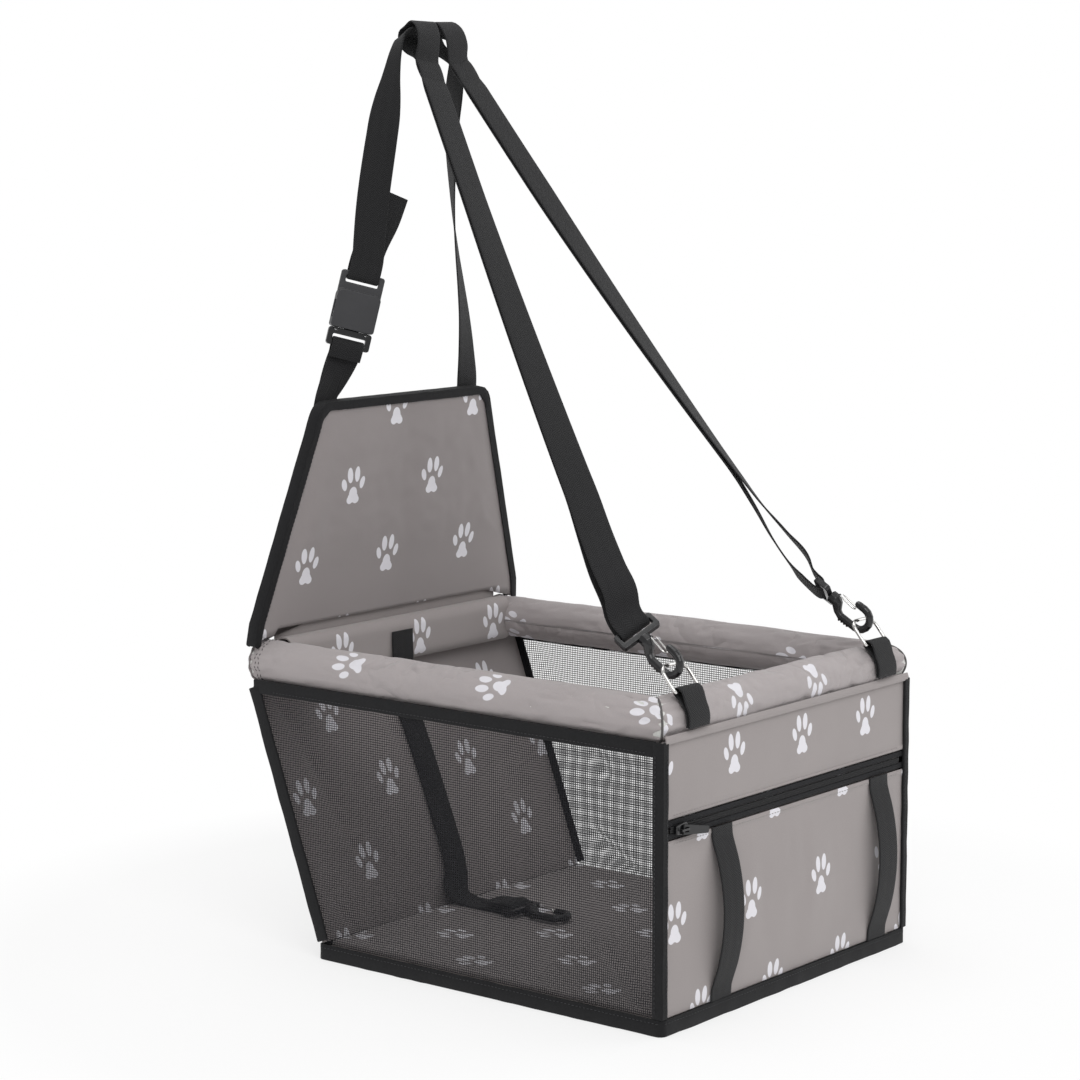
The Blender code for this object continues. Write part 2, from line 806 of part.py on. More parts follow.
eye_bar = 0.0040
eye_slot = 0.0052
eye_foot = 0.0044
eye_wall = 0.0036
eye_thickness = 0.0046
slot_play = 0.0014
eye_width = webbing_width + slot_play + 2 * eye_wall
stem_radius = 0.0019
stem_length = 0.0050
collar_radius = 0.0052
collar_length = 0.0070
rod_radius = 0.0031
bight_inside = 0.0055
bight_radius = rod_radius + bight_inside
bight_drop = 0.0295
nose_drop = 0.0205
throat_play = 0.0030
gate_wire = 0.0008
gate_half = 0.0026
gate_drop = 0.0055
gate_out = 0.0040
gate_length = 0.0170
ridge_radius = 0.0009
ridge_count = 4


def snap_hook(names, neck, down, nose_side, eye_turn):
    """Builds the eye, hook and gate below the neck point, where down runs from the eye to the bight. The eye is
    turned about down by eye_turn. Returns the eye bar's middle, its across direction and its face direction."""
    eye_name, hook_name, gate_name = names
    flat = down.cross(nose_side).normalized()
    across = Matrix.Rotation(eye_turn, 3, down) @ flat
    face = across.cross(down).normalized()
    eye_place = frame(neck - down * seat_gap, across, -down, face)
    eye_top = eye_foot + eye_slot + eye_bar
    half = eye_width / 2
    thick = eye_thickness / 2
    eye = prism(
        eye_name, rounded(box_outline((-half, 0), (half, eye_top)), eye_bar * 0.6, 4), -thick, thick, eye_place,
        black_plastic,
    )
    slot_half = half - eye_wall
    slot = prism(
        eye_name + "_slot",
        rounded(box_outline((-slot_half, eye_foot), (slot_half, eye_foot + eye_slot)), eye_wall / 4, 2),
        -eye_thickness, eye_thickness, eye_place, black_plastic,
    )
    stem_path = [neck - down * eye_foot / 2, neck + down * stem_length]
    stem = keep(eye_name + "_stem", loft(sections(stem_path, flat, circle(stem_radius, 10))), black_plastic)
    cut(weld_on(eye, stem), slot)
    bevel(eye, eye_thickness / 8)

    def at(drop, out):
        return neck + down * drop + nose_side * out

    bend = [
        at(bight_drop + bight_radius * math.sin(a), -bight_radius * math.cos(a))
        for a in [math.pi * k / 8 for k in range(9)]
    ]
    path = [at(0, 0), at(collar_length * 0.7, 0), at(collar_length, -bight_radius * 0.15)]
    path += [at(collar_length * 1.5, -bight_radius * 0.75), at(collar_length * 2.1, -bight_radius)]
    path += bend + [at(nose_drop + rod_radius, bight_radius), at(nose_drop + rod_radius * 0.3, bight_radius)]
    path += [at(nose_drop, bight_radius)]
    sizes = [collar_radius, collar_radius, collar_radius * 0.86, rod_radius * 1.05, rod_radius]
    sizes += [rod_radius] * len(bend) + [rod_radius * 0.95, rod_radius * 0.8, rod_radius * 0.4]
    rings = [sections(path, flat, circle(size, 10))[i] for i, size in enumerate(sizes)]
    hook = keep(hook_name, loft(rings), black_plastic, neck, smooth=True)
    for k in range(ridge_count):
        middle = at(collar_length * 2.2 + k * ridge_radius * 3, -bight_radius - rod_radius * 0.85)
        bar = [middle - flat * rod_radius * 0.7, middle + flat * rod_radius * 0.7]
        ridge = keep(f"{hook_name}_ridge_{k}", loft(sections(bar, down, circle(ridge_radius, 6))), black_plastic)
        weld_on(hook, ridge)
    bore_path = [neck - down * seat_gap, neck + down * (stem_length + seat_gap)]
    bore = keep(hook_name + "_bore", loft(sections(bore_path, flat, circle(stem_radius + seat_gap, 10))),
                black_plastic)
    cut(hook, bore)

    lug = [at(gate_drop, collar_radius * 0.5), at(gate_drop, collar_radius + gate_wire)]
    lug_half = gate_half - gate_wire - seat_gap
    lug_shape = loft(sections(lug, flat, [(-lug_half, -gate_wire), (lug_half, -gate_wire), (lug_half, gate_wire),
                                          (-lug_half, gate_wire)]))
    weld_on(hook, keep(hook_name + "_lug", lug_shape, black_plastic))
    pivot = at(gate_drop, collar_radius + gate_wire + seat_gap)
    tip_out = bight_radius - rod_radius - gate_wire - seat_gap - collar_radius - gate_wire - seat_gap
    run = (down * gate_length + nose_side * tip_out).normalized()
    corners = [(-gate_half, 0), (-gate_half, gate_length), (gate_half, gate_length), (gate_half, 0)]
    outline = rounded(corners, [0, gate_half * 0.9, gate_half * 0.9, 0], 4)
    gate_path = [pivot + flat * a + run * b for a, b in outline]
    gate_shape = loft(sections(gate_path, flat.cross(run), circle(gate_wire, 6)))
    keep(gate_name, gate_shape, bright_wire, pivot, smooth=True)
    bar_middle = neck - down * (seat_gap + eye_foot + eye_slot + eye_bar / 2)
    return bar_middle, across, face


# Backrest: a board in a cloth cover, bound on three edges, hinged by its foot seam at the rear channel

backrest_lean = math.atan(0.1034)
backrest_foot = 2 * seat_gap
foot_inset = 0.0015
foot_half = side_x - foot_inset
top_half = 0.100
top_radius = 0.017
cover_half = 0.0035
cover_wall = 0.0010
board_half = cover_half - cover_wall - seat_gap
bound_wrap = 0.0012
bound_half = cover_half + bound_wrap + seat_gap

hinge = Vector((0, seam_y, seam_z))
lean_up = Vector((0, -math.sin(backrest_lean), math.cos(backrest_lean)))
lean_back = Vector((0, math.cos(backrest_lean), math.sin(backrest_lean)))
lean_frame = frame(hinge, X, lean_up, -lean_back)


def leaning(u, v, w=0.0):
    """A place by its distance from the middle, its height up the lean and its distance behind the backrest."""
    return hinge + X * u + lean_up * v + lean_back * w


def backrest_outline(inset, foot):
    slant = (foot_half - top_half) / (backrest_height - backrest_foot)
    stretch = inset * math.sqrt(1 + slant * slant)
    high = backrest_height - inset
    low_half = foot_half - (foot - backrest_foot) * slant - stretch
    high_half = foot_half - (high - backrest_foot) * slant - stretch
    corners = [(-low_half, foot), (low_half, foot), (high_half, high), (-high_half, high)]
    return rounded(corners, [0, 0, top_radius - inset, top_radius - inset], 5)


edge_inset = bound_wrap + seat_gap
cover = prism("backrest_cover", backrest_outline(edge_inset, backrest_foot), -cover_half, cover_half, lean_frame,
              grey_cloth, hinge)
pocket = prism("backrest_cover_pocket", backrest_outline(edge_inset + cover_wall, 0), -cover_half + cover_wall,
               cover_half - cover_wall, lean_frame, grey_cloth)
cut(cover, pocket)
prism("backrest_board", backrest_outline(edge_inset + cover_wall + seat_gap, backrest_foot), -board_half, board_half,
      lean_frame, grey_board, hinge)
outer_edge = backrest_outline(0, backrest_foot)
run = outer_edge[1:] + outer_edge[:1]
reach, inner = binding_width, edge_inset - seat_gap
lip = bound_half - bound_wrap
channel = [(0, -bound_half), (reach, -bound_half), (reach, -lip), (inner, -lip), (inner, lip), (reach, lip),
           (reach, bound_half), (0, bound_half)]


def inward_sections(outline, profile, place):
    """Rings of a profile along an open outline, whose first number runs inward and second along local out."""
    rings = []
    last = len(outline) - 1
    for i, here in enumerate(outline):
        before = (here - outline[i - 1]).normalized() if i else None
        after = (outline[i + 1] - here).normalized() if i < last else None
        along = ((before or after) + (after or before)).normalized()
        inward = Vector((-along.y, along.x))
        mitre = inward.dot(Vector((-(after or before).y, (after or before).x)))
        ring = []
        for a, n in profile:
            spot = here + inward * a / mitre
            ring.append(place @ Vector((spot.x, spot.y, n)))
        rings.append(ring)
    return rings


keep("backrest_binding", loft(inward_sections(run, channel, lean_frame)), black_tape, hinge)

# Harness: a headrest strap from the backrest's two top corners, with a side-release buckle on its left side

sewn_drop = 0.026
sewn_low = backrest_height - sewn_drop
sewn_out = cover_half + bound_wrap + 2 * seat_gap + webbing_thickness / 2 + bound_wrap
corner_u = 0.084
arch_half = 0.027
arch_width = 0.014
arch_fall = 0.0015
arch_tilt = math.radians(34.6)
buckle_spot = (-0.0640, 0.2450)
buckle_lean = math.radians(14)
buckle_turn = math.radians(38)
body_length = 0.030
body_width = 0.0345
body_thickness = 0.0105
body_wall = 0.0017
mouth_corner = 0.002
shoulder_corner = 0.004
ladder_reach = 0.0150
ladder_bar = 0.0040
ladder_thickness = 0.0046
plug_reach = 0.0140
prong_root = 0.0120
prong_half = 0.0015
prong_head = 0.0166
prong_thickness = 0.0052
tongue_half = 0.0050
tongue_thickness = 0.0040
slot_width = webbing_width + slot_play
slot_height = 0.0050
window_low, window_high = -0.0080, 0.0060
prong_tip = 0.0085

buckle_up = (lean_up * math.cos(buckle_lean) + X * math.sin(buckle_lean)).normalized()
flat_left = (-X + buckle_up * X.dot(buckle_up)).normalized()
buckle_across = Matrix.Rotation(-buckle_turn, 3, buckle_up) @ flat_left
buckle_out = buckle_across.cross(buckle_up).normalized()
if buckle_out.y > 0:
    buckle_out = -buckle_out
buckle_middle = leaning(*buckle_spot)
buckle_frame = frame(buckle_middle, buckle_across, buckle_up, buckle_out)


def on_buckle(w, l, n=0.0):
    return buckle_middle + buckle_across * w + buckle_up * l + buckle_out * n


def buckle_prism(name, outline, half, pivot=None):
    return prism(name, outline, -half, half, buckle_frame, black_plastic, pivot)


half_body, half_wide = body_length / 2, body_width / 2
socket_outline = rounded(
    [
        (-half_wide, -half_body), (half_wide, -half_body), (half_wide, half_body),
        (-half_wide, half_body),
    ],
    [mouth_corner, mouth_corner, shoulder_corner, shoulder_corner],
    3,
)
socket = buckle_prism("buckle_socket", socket_outline, body_thickness / 2)
ladder_top = half_body + ladder_reach
ladder_outline = rounded(box_outline((-half_wide, half_body - ladder_bar), (half_wide, ladder_top)), ladder_bar / 2, 3)
weld_on(socket, buckle_prism("ladder", ladder_outline, ladder_thickness / 2))
cavity_half = half_wide - body_wall
cavity_thick = body_thickness / 2 - body_wall
cut(socket, buckle_prism("socket_cavity", box_outline((-cavity_half, -body_length), (cavity_half, half_body / 1.4)),
                         cavity_thick))
for side in (LEFT, RIGHT):
    near, far = side * cavity_half * 0.9, side * body_width
    window = rounded(box_outline((min(near, far), window_low), (max(near, far), window_high)), body_wall, 2)
    cut(socket, buckle_prism("socket_window_" + side_name(side), window, cavity_thick))
slot_top = ladder_top - ladder_bar
cut(socket, buckle_prism("ladder_slot", rounded(
    box_outline((-slot_width / 2, slot_top - slot_height), (slot_width / 2, slot_top)), body_wall / 2, 2),
    body_thickness))
bevel(socket, body_wall / 3)

plug_top = -half_body - seat_gap
plug_low = plug_top - plug_reach
plug = buckle_prism("buckle_plug", rounded(box_outline((-half_wide, plug_low), (half_wide, plug_top)),
                                           ladder_bar / 2, 3), ladder_thickness / 2)
tongue = rounded(box_outline((-tongue_half, plug_top - ladder_bar / 2), (tongue_half, half_body / 3)),
                 tongue_half / 2, 3)
weld_on(plug, buckle_prism("plug_tongue", tongue, tongue_thickness / 2))
plug_slot_low = plug_low + ladder_bar
cut(plug, buckle_prism("plug_slot", rounded(
    box_outline((-slot_width / 2, plug_slot_low), (slot_width / 2, plug_slot_low + slot_height)),
    body_wall / 2, 2), body_thickness))
root_l = plug_top - prong_half * 0.2
for side in (LEFT, RIGHT):
    seat = [(side * prong_root + x, root_l + y) for x, y in circle(prong_half + seat_gap, 12)]
    cut(plug, buckle_prism("prong_seat_" + side_name(side), seat, body_thickness))
    knuckle = [
        (prong_root + prong_half * math.cos(a), root_l + prong_half * math.sin(a))
        for a in [math.pi + math.pi * k / 6 for k in range(7)]
    ]
    arm = knuckle + [
        (prong_root + prong_half, window_low - prong_half),
        (prong_head, window_low + 3 * seat_gap),
        (prong_head, window_low + prong_head / 3),
        (cavity_half - 2 * seat_gap, prong_tip),
        (cavity_half - 2 * prong_half, prong_tip),
        (prong_root - prong_half, window_high / 2),
    ]
    outline = [(side * x, y) for x, y in arm]
    buckle_prism("prong_" + side_name(side), outline if side == RIGHT else outline[::-1], prong_thickness / 2,
                 on_buckle(side * prong_root, root_l))
bevel(plug, body_wall / 3)

arch_back = Y * math.cos(arch_tilt) - Z * math.sin(arch_tilt)


def twist_across(side, turn):
    """The webbing's across direction at a turn: along X where it is sewn, front to back over the arch."""
    return X * side * math.cos(turn) + arch_back * math.sin(turn)


hug = math.hypot(ladder_thickness, ladder_bar) / 2 + wrap_play + webbing_thickness / 2
sewn_outward = 0.004
edge_inward = 0.002
edge_over = 0.004
plug_lead = 0.006
plug_hem = 0.009
sewn_left = leaning(-corner_u - sewn_outward, sewn_low, sewn_out)
edge_left = leaning(-corner_u + edge_inward, backrest_height + edge_over, sewn_out)
plug_bar = on_buckle(0, plug_low + ladder_bar / 2)
below_plug = on_buckle(0, plug_low - plug_lead, -hug * 0.8)
twist_steps = 6
up_path = [sewn_left, sewn_left.lerp(edge_left, 0.5)]
up_path += [edge_left.lerp(below_plug, k / twist_steps) for k in range(twist_steps + 1)]
bend = wrap(plug_bar, buckle_up, -buckle_out, hug, wrap_steps, 0, math.pi)
down_path = [on_buckle(0, plug_low - plug_hem / 2, hug * 0.8), on_buckle(0, plug_low - plug_hem, hug * 0.5)]


def blend_across(first, last, share):
    return (first * (1 - share) + last * share).normalized()


path = up_path + bend + down_path
start_across = -X
across = [start_across] * 2
across += [blend_across(start_across, buckle_across, k / twist_steps) for k in range(twist_steps + 1)]
across += [buckle_across] * (len(bend) + len(down_path))
ribbon("buckle_strap", path, across)

loop_top = harness_reach
ladder_bar_middle = on_buckle(0, ladder_top - ladder_bar / 2)
edge_under = 0.010
tail_length = 0.064
tail_swing = 0.017
tail_lead = 0.006
right_sewn = [
    (leaning(corner_u + sewn_outward, sewn_low, sewn_out), 0),
    (leaning(corner_u + edge_inward, backrest_height - edge_under, sewn_out), 0),
    (leaning(corner_u, backrest_height + 2 * edge_over, sewn_out - cloth), 4),
]
right_shares = [(0.905, 0.509, 1.0, 26), (0.738, 0.672, 1.8, 46), (0.583, 0.823, 1.6, 66), (0.488, 0.921, 0.6, 82),
                (0.423, 0.975, 0, 90)]
left_shares = [(0.423, 0.975, 0, 90), (0.482, 0.921, 0, 80), (0.554, 0.823, 0, 64), (0.619, 0.715, 0, 50)]


def strap_run(side, shares):
    """The strap's places and turns on one side, by shares of the sewn corner's distance and of the loop's height."""
    found = []
    for outward, upward, behind, turn in shares:
        spot = leaning(side * outward * corner_u, upward * harness_reach, behind * sewn_out)
        found.append((spot, turn if side == RIGHT else 180 - turn))
    return found


run = right_sewn + strap_run(RIGHT, right_shares)
run += [(leaning(arch_half, loop_top - arch_fall), 90), (leaning(0, loop_top), 90)]
run += [(leaning(-arch_half, loop_top - arch_fall), 90)]
run += strap_run(LEFT, left_shares)
controls = [spot for spot, turn in run]
controls.append(on_buckle(0, ladder_top + edge_under, hug * 0.9))
run_turns = [turn for spot, turn in run]
span_steps = 3
smooth_run = curve_through(controls, span_steps)
turns_between = []
all_turns = run_turns + [180 - math.degrees(buckle_turn)]
for k in range(len(all_turns) - 1):
    turns_between += [all_turns[k] + (all_turns[k + 1] - all_turns[k]) * s / span_steps for s in range(span_steps)]
turns_between.append(all_turns[-1])
run_across = [twist_across(RIGHT, math.radians(turn)) for turn in turns_between]
last_across = buckle_across if run_across[-1].dot(buckle_across) > 0 else -buckle_across
run_across[-1] = last_across
arch_share = arch_width / webbing_width
narrow_share = 0.856
narrow_length_share = 0.108
widths = []
for spot in smooth_run:
    rise = (spot - hinge).dot(lean_up)
    share = max(0, min(1, (rise / harness_reach - narrow_share) / narrow_length_share))
    widths.append(1 + (arch_share - 1) * share * share * (3 - 2 * share))
bend = wrap(ladder_bar_middle, -buckle_up, buckle_out, hug, wrap_steps, 0, math.pi)
tail_shares = [(0.094, 1.1, 0), (0.344, 1.5, 0.18), (0.688, 2.2, 0.7), (1, 3.4, 1)]
tail_run = [
    on_buckle(0, ladder_top + along * tail_length, -hug * lift) + X * tail_swing * swing
    for along, lift, swing in tail_shares
]
path = smooth_run + bend + tail_run
run_across += [last_across] * (len(bend) + len(tail_run))
widths += [1] * (len(bend) + len(tail_run))
ribbon("headrest_strap", path, run_across, widths=widths)

# Front straps: closed loops of webbing from the headrest strap's arch down to the snap hooks

hook_drop = math.radians(31)
hook_toe_share = 0.06
loop_spread = 0.0136
left_sag = 0.010
right_sag = 0.010
front_sag = {LEFT: left_sag, RIGHT: right_sag}
crown_play = 0.0036
crown_drop = 0.018
loop_half_high = arch_width / 2 + crown_play
strap_split = 0.0058
layer_half = 0.0011
lead_dip = 0.020
dip_share = 0.2
split_share = 0.06
split_length_share = 0.09
strap_steps = 16
crown_shares = [(1, 1), (1, 1 / 3), (0.8, -0.21), (0, -0.3), (-0.8, -0.21), (-1, 1 / 3), (-1, 1)]


def eased_lead(start, along, end):
    """Points between a bar and a strap's free run, which leave along the bar's face and bend over to the run."""
    middle = start + along * (end - start).length / 2
    return [
        start * (1 - t) ** 2 + middle * 2 * t * (1 - t) + end * t * t
        for t in (1 / 4, 2 / 4, 3 / 4)
    ]


def front_harness(side):
    ring_tab(side)
    wire_ring(side)
    lean = Vector((0, math.cos(ring_lean), math.sin(ring_lean)))
    wire = ring_pivot(side) + lean * ring_reach
    down = -Vector((-side * hook_toe_share, math.cos(hook_drop), math.sin(hook_drop))).normalized()
    nose_side = X.cross(down).normalized()
    if nose_side.z < 0:
        nose_side = -nose_side
    inner_bight = bight_drop + bight_radius - rod_radius
    neck = wire - down * (inner_bight - throat_play - wire_radius)
    label = side_name(side)
    names = ("hook_eye_" + label, "hook_" + label, "hook_gate_" + label)
    arch_middle = leaning(side * loop_spread, loop_top - arch_fall * 0.35)
    bar, eye_across, eye_face = snap_hook(names, neck, down, nose_side, -side * math.radians(38))
    if eye_across.x < 0:
        eye_across = -eye_across
    pull = (arch_middle - bar).normalized()
    top_across = X
    eye_normal = eye_across.cross(-down).normalized()
    top_back = top_across.cross(pull).normalized()
    if eye_normal.dot(top_back) < 0:
        eye_normal = -eye_normal
    hug = math.hypot(eye_thickness, eye_bar) / 2 + wrap_play + webbing_thickness / 2
    lean_to_bar = [bar + eye_normal * hug * math.cos(a) + down * hug * math.sin(a)
                   for a in [math.pi * k / wrap_steps for k in range(wrap_steps + 1)]]
    outer_layer, inner_layer, across_layer = [], [], []
    start_share, end_share = 0.045, 0.955
    for k in range(strap_steps + 1):
        share = start_share + (end_share - start_share) * k / strap_steps
        sag = front_sag[side] * math.sin(math.pi * share)
        centre = bar.lerp(arch_middle, share) - Z * sag
        if share < dip_share:
            centre = centre + (-down - pull) * lead_dip * (share / dip_share) * (1 - share / dip_share)
        across = blend_across(eye_across, top_across, min(1, share * 1.4))
        normal = across.cross(pull).normalized()
        if normal.dot(top_back) < 0:
            normal = -normal
        split = strap_split * math.exp(-((share - split_share) / split_length_share) ** 2) + layer_half
        outer_layer.append(centre + normal * split)
        inner_layer.append(centre - normal * split)
        across_layer.append(across)
    crown_points = []
    for share, drop_share in crown_shares:
        high = loop_half_high if drop_share < 1 else loop_half_high * 0.55
        crown_points.append(arch_middle - top_back * share * high - pull * crown_drop * drop_share)
    if (crown_points[0] - outer_layer[-1]).length > (crown_points[-1] - outer_layer[-1]).length:
        crown_points.reverse()
    outer_lead = eased_lead(bar + eye_normal * hug, -down, outer_layer[0])
    inner_lead = eased_lead(bar - eye_normal * hug, -down, inner_layer[0])
    path = outer_lead + outer_layer + crown_points + inner_layer[::-1] + inner_lead[::-1] + lean_to_bar[::-1]
    lead_across = [eye_across] * len(outer_lead)
    acrosses = lead_across + across_layer + [top_across] * len(crown_points) + across_layer[::-1] + lead_across
    acrosses += [eye_across] * len(lean_to_bar)
    ribbon("front_strap_" + label, path, acrosses, closed=True)


for side in (LEFT, RIGHT):
    front_harness(side)

# Tether: webbing sewn to the rear channel, lying down the rear wall and on the floor to its own snap hook

tether_x = -0.006
tether_sway = -0.012
tether_lift = 2 * seat_gap + webbing_thickness / 2
tether_floor = 0.075
tether_bend = 0.018
tether_slack = 0.006
tether_hem = 0.026
floor_play = 0.0008
floor_top = board_bottom + board_thickness + seat_gap + floor_edge + floor_crown
channel_front = channel_middle.y - half_thick - tether_lift
on_floor = floor_top + tether_lift + floor_play


def on_wall(share, off, sway):
    """A place in front of the rear wall, by its share of the wall's height and its distance off the wall's face."""
    spot = rear_foot.lerp(rear_head, share) - rear_out * (wall_sheet + tether_lift + off)
    return spot + X * (tether_x - sway)


wall_low_spot = rear_foot + rear_up * tether_bend * 1.6 - rear_out * (wall_sheet + tether_lift)
controls = [
    Vector((tether_x, channel_front, channel_middle.z + half_high * 0.45)),
    Vector((tether_x, channel_front, channel_middle.z)),
    Vector((tether_x, channel_front, channel_middle.z - half_high)),
    on_wall(0.917, tether_slack, 0),
    on_wall(0.84, tether_slack / 6, tether_sway / 2),
    on_wall(0.55, 0, tether_sway),
    on_wall(0.165, tether_slack / 3, tether_sway),
    Vector((tether_x, wall_low_spot.y - tether_bend * 0.75, on_floor + tether_bend * 0.35)),
    Vector((tether_x, wall_low_spot.y - tether_bend * 1.9, on_floor)),
    Vector((tether_x, wall_low_spot.y - tether_floor * 0.8, on_floor + floor_play)),
]
tether_path = curve_through(controls, 3)
tether_eye_rise = on_floor + eye_thickness / 2 + floor_play * 1.5
tether_bar = Vector((tether_x, wall_low_spot.y - tether_floor, tether_eye_rise))
tether_hug = math.hypot(eye_thickness, eye_bar) / 2 + wrap_play + webbing_thickness / 2
tether_path += wrap(tether_bar, -Y, -Z, tether_hug, wrap_steps, 0, math.pi)
tether_path += [tether_bar + Y * tether_hem * share + Z * tether_hug * (1 - share * 0.55) for share in (0.46, 1)]
ribbon("tether_strap", tether_path, X)
tether_neck = tether_bar - Y * (seat_gap + eye_foot + eye_slot + eye_bar / 2)
snap_hook(("tether_eye", "tether_hook", "tether_gate"), tether_neck, -Y, X, -math.pi / 2)
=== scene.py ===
import math

import bmesh
import bpy
from mathutils import Matrix, Vector, noise


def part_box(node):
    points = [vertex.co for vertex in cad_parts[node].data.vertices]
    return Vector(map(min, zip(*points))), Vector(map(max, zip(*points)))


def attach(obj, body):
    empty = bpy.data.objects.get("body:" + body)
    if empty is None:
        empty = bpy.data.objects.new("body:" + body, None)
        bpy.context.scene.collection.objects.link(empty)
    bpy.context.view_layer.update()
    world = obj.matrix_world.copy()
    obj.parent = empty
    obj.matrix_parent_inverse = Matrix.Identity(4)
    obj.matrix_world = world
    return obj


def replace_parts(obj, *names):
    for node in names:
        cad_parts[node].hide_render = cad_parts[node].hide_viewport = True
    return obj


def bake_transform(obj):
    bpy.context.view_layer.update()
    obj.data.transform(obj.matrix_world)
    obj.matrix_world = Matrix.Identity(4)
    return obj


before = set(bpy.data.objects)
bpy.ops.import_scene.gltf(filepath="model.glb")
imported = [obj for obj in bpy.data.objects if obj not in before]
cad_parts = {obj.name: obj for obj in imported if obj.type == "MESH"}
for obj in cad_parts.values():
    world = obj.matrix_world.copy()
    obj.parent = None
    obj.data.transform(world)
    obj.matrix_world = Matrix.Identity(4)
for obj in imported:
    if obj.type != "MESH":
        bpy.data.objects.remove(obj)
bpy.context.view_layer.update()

# Camera, floor and light: a long lens at the height of the rim looks down on the pocket's left corner, and
# the pale floor fades into the white behind it.

aim = Vector((0, 0, 0.30))
camera_turn, camera_rise, camera_distance = math.radians(-51.76), math.radians(8.38), 2.297
camera_lens, camera_sensor, camera_shift_x, camera_shift_y = 99.56, 36, -0.0364, 0.0219
reach_out = Vector((
    math.sin(camera_turn) * math.cos(camera_rise),
    -math.cos(camera_turn) * math.cos(camera_rise),
    math.sin(camera_rise),
))


def linked(name, data):
    """A new object in the scene."""
    made = bpy.data.objects.new(name, data)
    bpy.context.scene.collection.objects.link(made)
    return made


camera_data = bpy.data.cameras.new("camera")
camera_data.lens, camera_data.sensor_width = camera_lens, camera_sensor
camera_data.shift_x, camera_data.shift_y = camera_shift_x, camera_shift_y
camera = linked("camera", camera_data)
camera.location = aim + reach_out * camera_distance
camera.rotation_euler = reach_out.to_track_quat("Z", "Y").to_euler()
bpy.context.scene.camera = camera
bpy.context.scene.view_settings.view_transform = "Standard"


class Signal:
    """A socket in one finish's node tree, so that shader maths reads as arithmetic."""

    def __init__(self, finish, socket):
        self.finish, self.socket = finish, socket

    def math(self, operation, *others, clamp=False):
        values = dict(enumerate((self, *others)))
        settings = {"operation": operation, "use_clamp": clamp}
        return self.finish.node("ShaderNodeMath", settings, values)

    def __add__(self, other):
        return self.math("ADD", other)

    def __sub__(self, other):
        return self.math("SUBTRACT", other)

    def __rsub__(self, other):
        return self.finish.node("ShaderNodeMath", {"operation": "SUBTRACT"}, {0: other, 1: self})

    def __mul__(self, other):
        return self.math("MULTIPLY", other)

    def __truediv__(self, other):
        return self.math("DIVIDE", other)

    __radd__, __rmul__ = __add__, __mul__


class Finish:
    """A named material and the nodes that vary it."""

    def __init__(self, name, colour, roughness, metallic=0.0, **fixed):
        self.material = bpy.data.materials.new(name)
        self.material.use_nodes = True
        self.tree = self.material.node_tree
        self.shader = self.tree.nodes["Principled BSDF"]
        self.set("Base Color", (*colour, 1))
        self.set("Roughness", roughness)
        self.set("Metallic", metallic)
        for socket, value in fixed.items():
            self.set(socket.replace("_", " "), value)

    def set(self, socket, value):
        self.feed(self.shader.inputs[socket], value)

    def feed(self, socket, value):
        if isinstance(value, Signal):
            self.tree.links.new(value.socket, socket)
        else:
            socket.default_value = value

    def node(self, kind, settings, values, output=0):
        made = self.tree.nodes.new(kind)
        for key, value in settings.items():
            setattr(made, key, value)
        for key, value in values.items():
            self.feed(made.inputs[key], value)
        return Signal(self, made.outputs[output])

    def coordinates(self, kind):
        """The object's or the UV map's place, and its numbers apart."""
        place = self.node("ShaderNodeTexCoord", {}, {}, kind)
        return place, *(self.node("ShaderNodeSeparateXYZ", {}, {0: place}, axis) for axis in "XYZ")

    def speckle(self, place, scale, detail=2.0, roughness=0.5):
        values = {"Vector": place, "Scale": scale, "Detail": detail, "Roughness": roughness}
        return self.node("ShaderNodeTexNoise", {}, values)

    def mix(self, factor, first, second):
        return self.node("ShaderNodeMix", {"data_type": "RGBA"}, {0: factor, 6: first, 7: second}, 2)

    def bump(self, height, distance):
        values = {"Height": height, "Distance": distance, "Strength": 1.0}
        self.set("Normal", self.node("ShaderNodeBump", {}, values))


floor_reach, floor_drop = 4.0, 0.0004
fade_near, fade_far, fade_least = 0.15, 0.55, 0.72
floor_finish = Finish("pale_floor", (0.97, 0.97, 0.97), 0.9, Specular_IOR_Level=0.0)
_, ground_x, ground_y, _ = floor_finish.coordinates("Object")
ring_out = (ground_x * ground_x + ground_y * ground_y).math("SQRT")
fade = ((ring_out - fade_near) / (fade_far - fade_near)).math("MAXIMUM", fade_least).math("MINIMUM", 1.0)
white = floor_finish.node("ShaderNodeEmission", {}, {"Color": (1, 1, 1, 1), "Strength": 1.0})
faded = floor_finish.node("ShaderNodeMixShader", {}, {
    0: fade, 1: Signal(floor_finish, floor_finish.shader.outputs[0]), 2: white})
floor_finish.feed(floor_finish.tree.nodes["Material Output"].inputs["Surface"], faded)
bpy.ops.object.select_all(action="DESELECT")
bpy.ops.mesh.primitive_circle_add(
    vertices=64, radius=floor_reach, fill_type="NGON", location=(0, 0, -floor_drop))
floor = bpy.context.object
floor.name = "floor"
floor.data.materials.append(floor_finish.material)

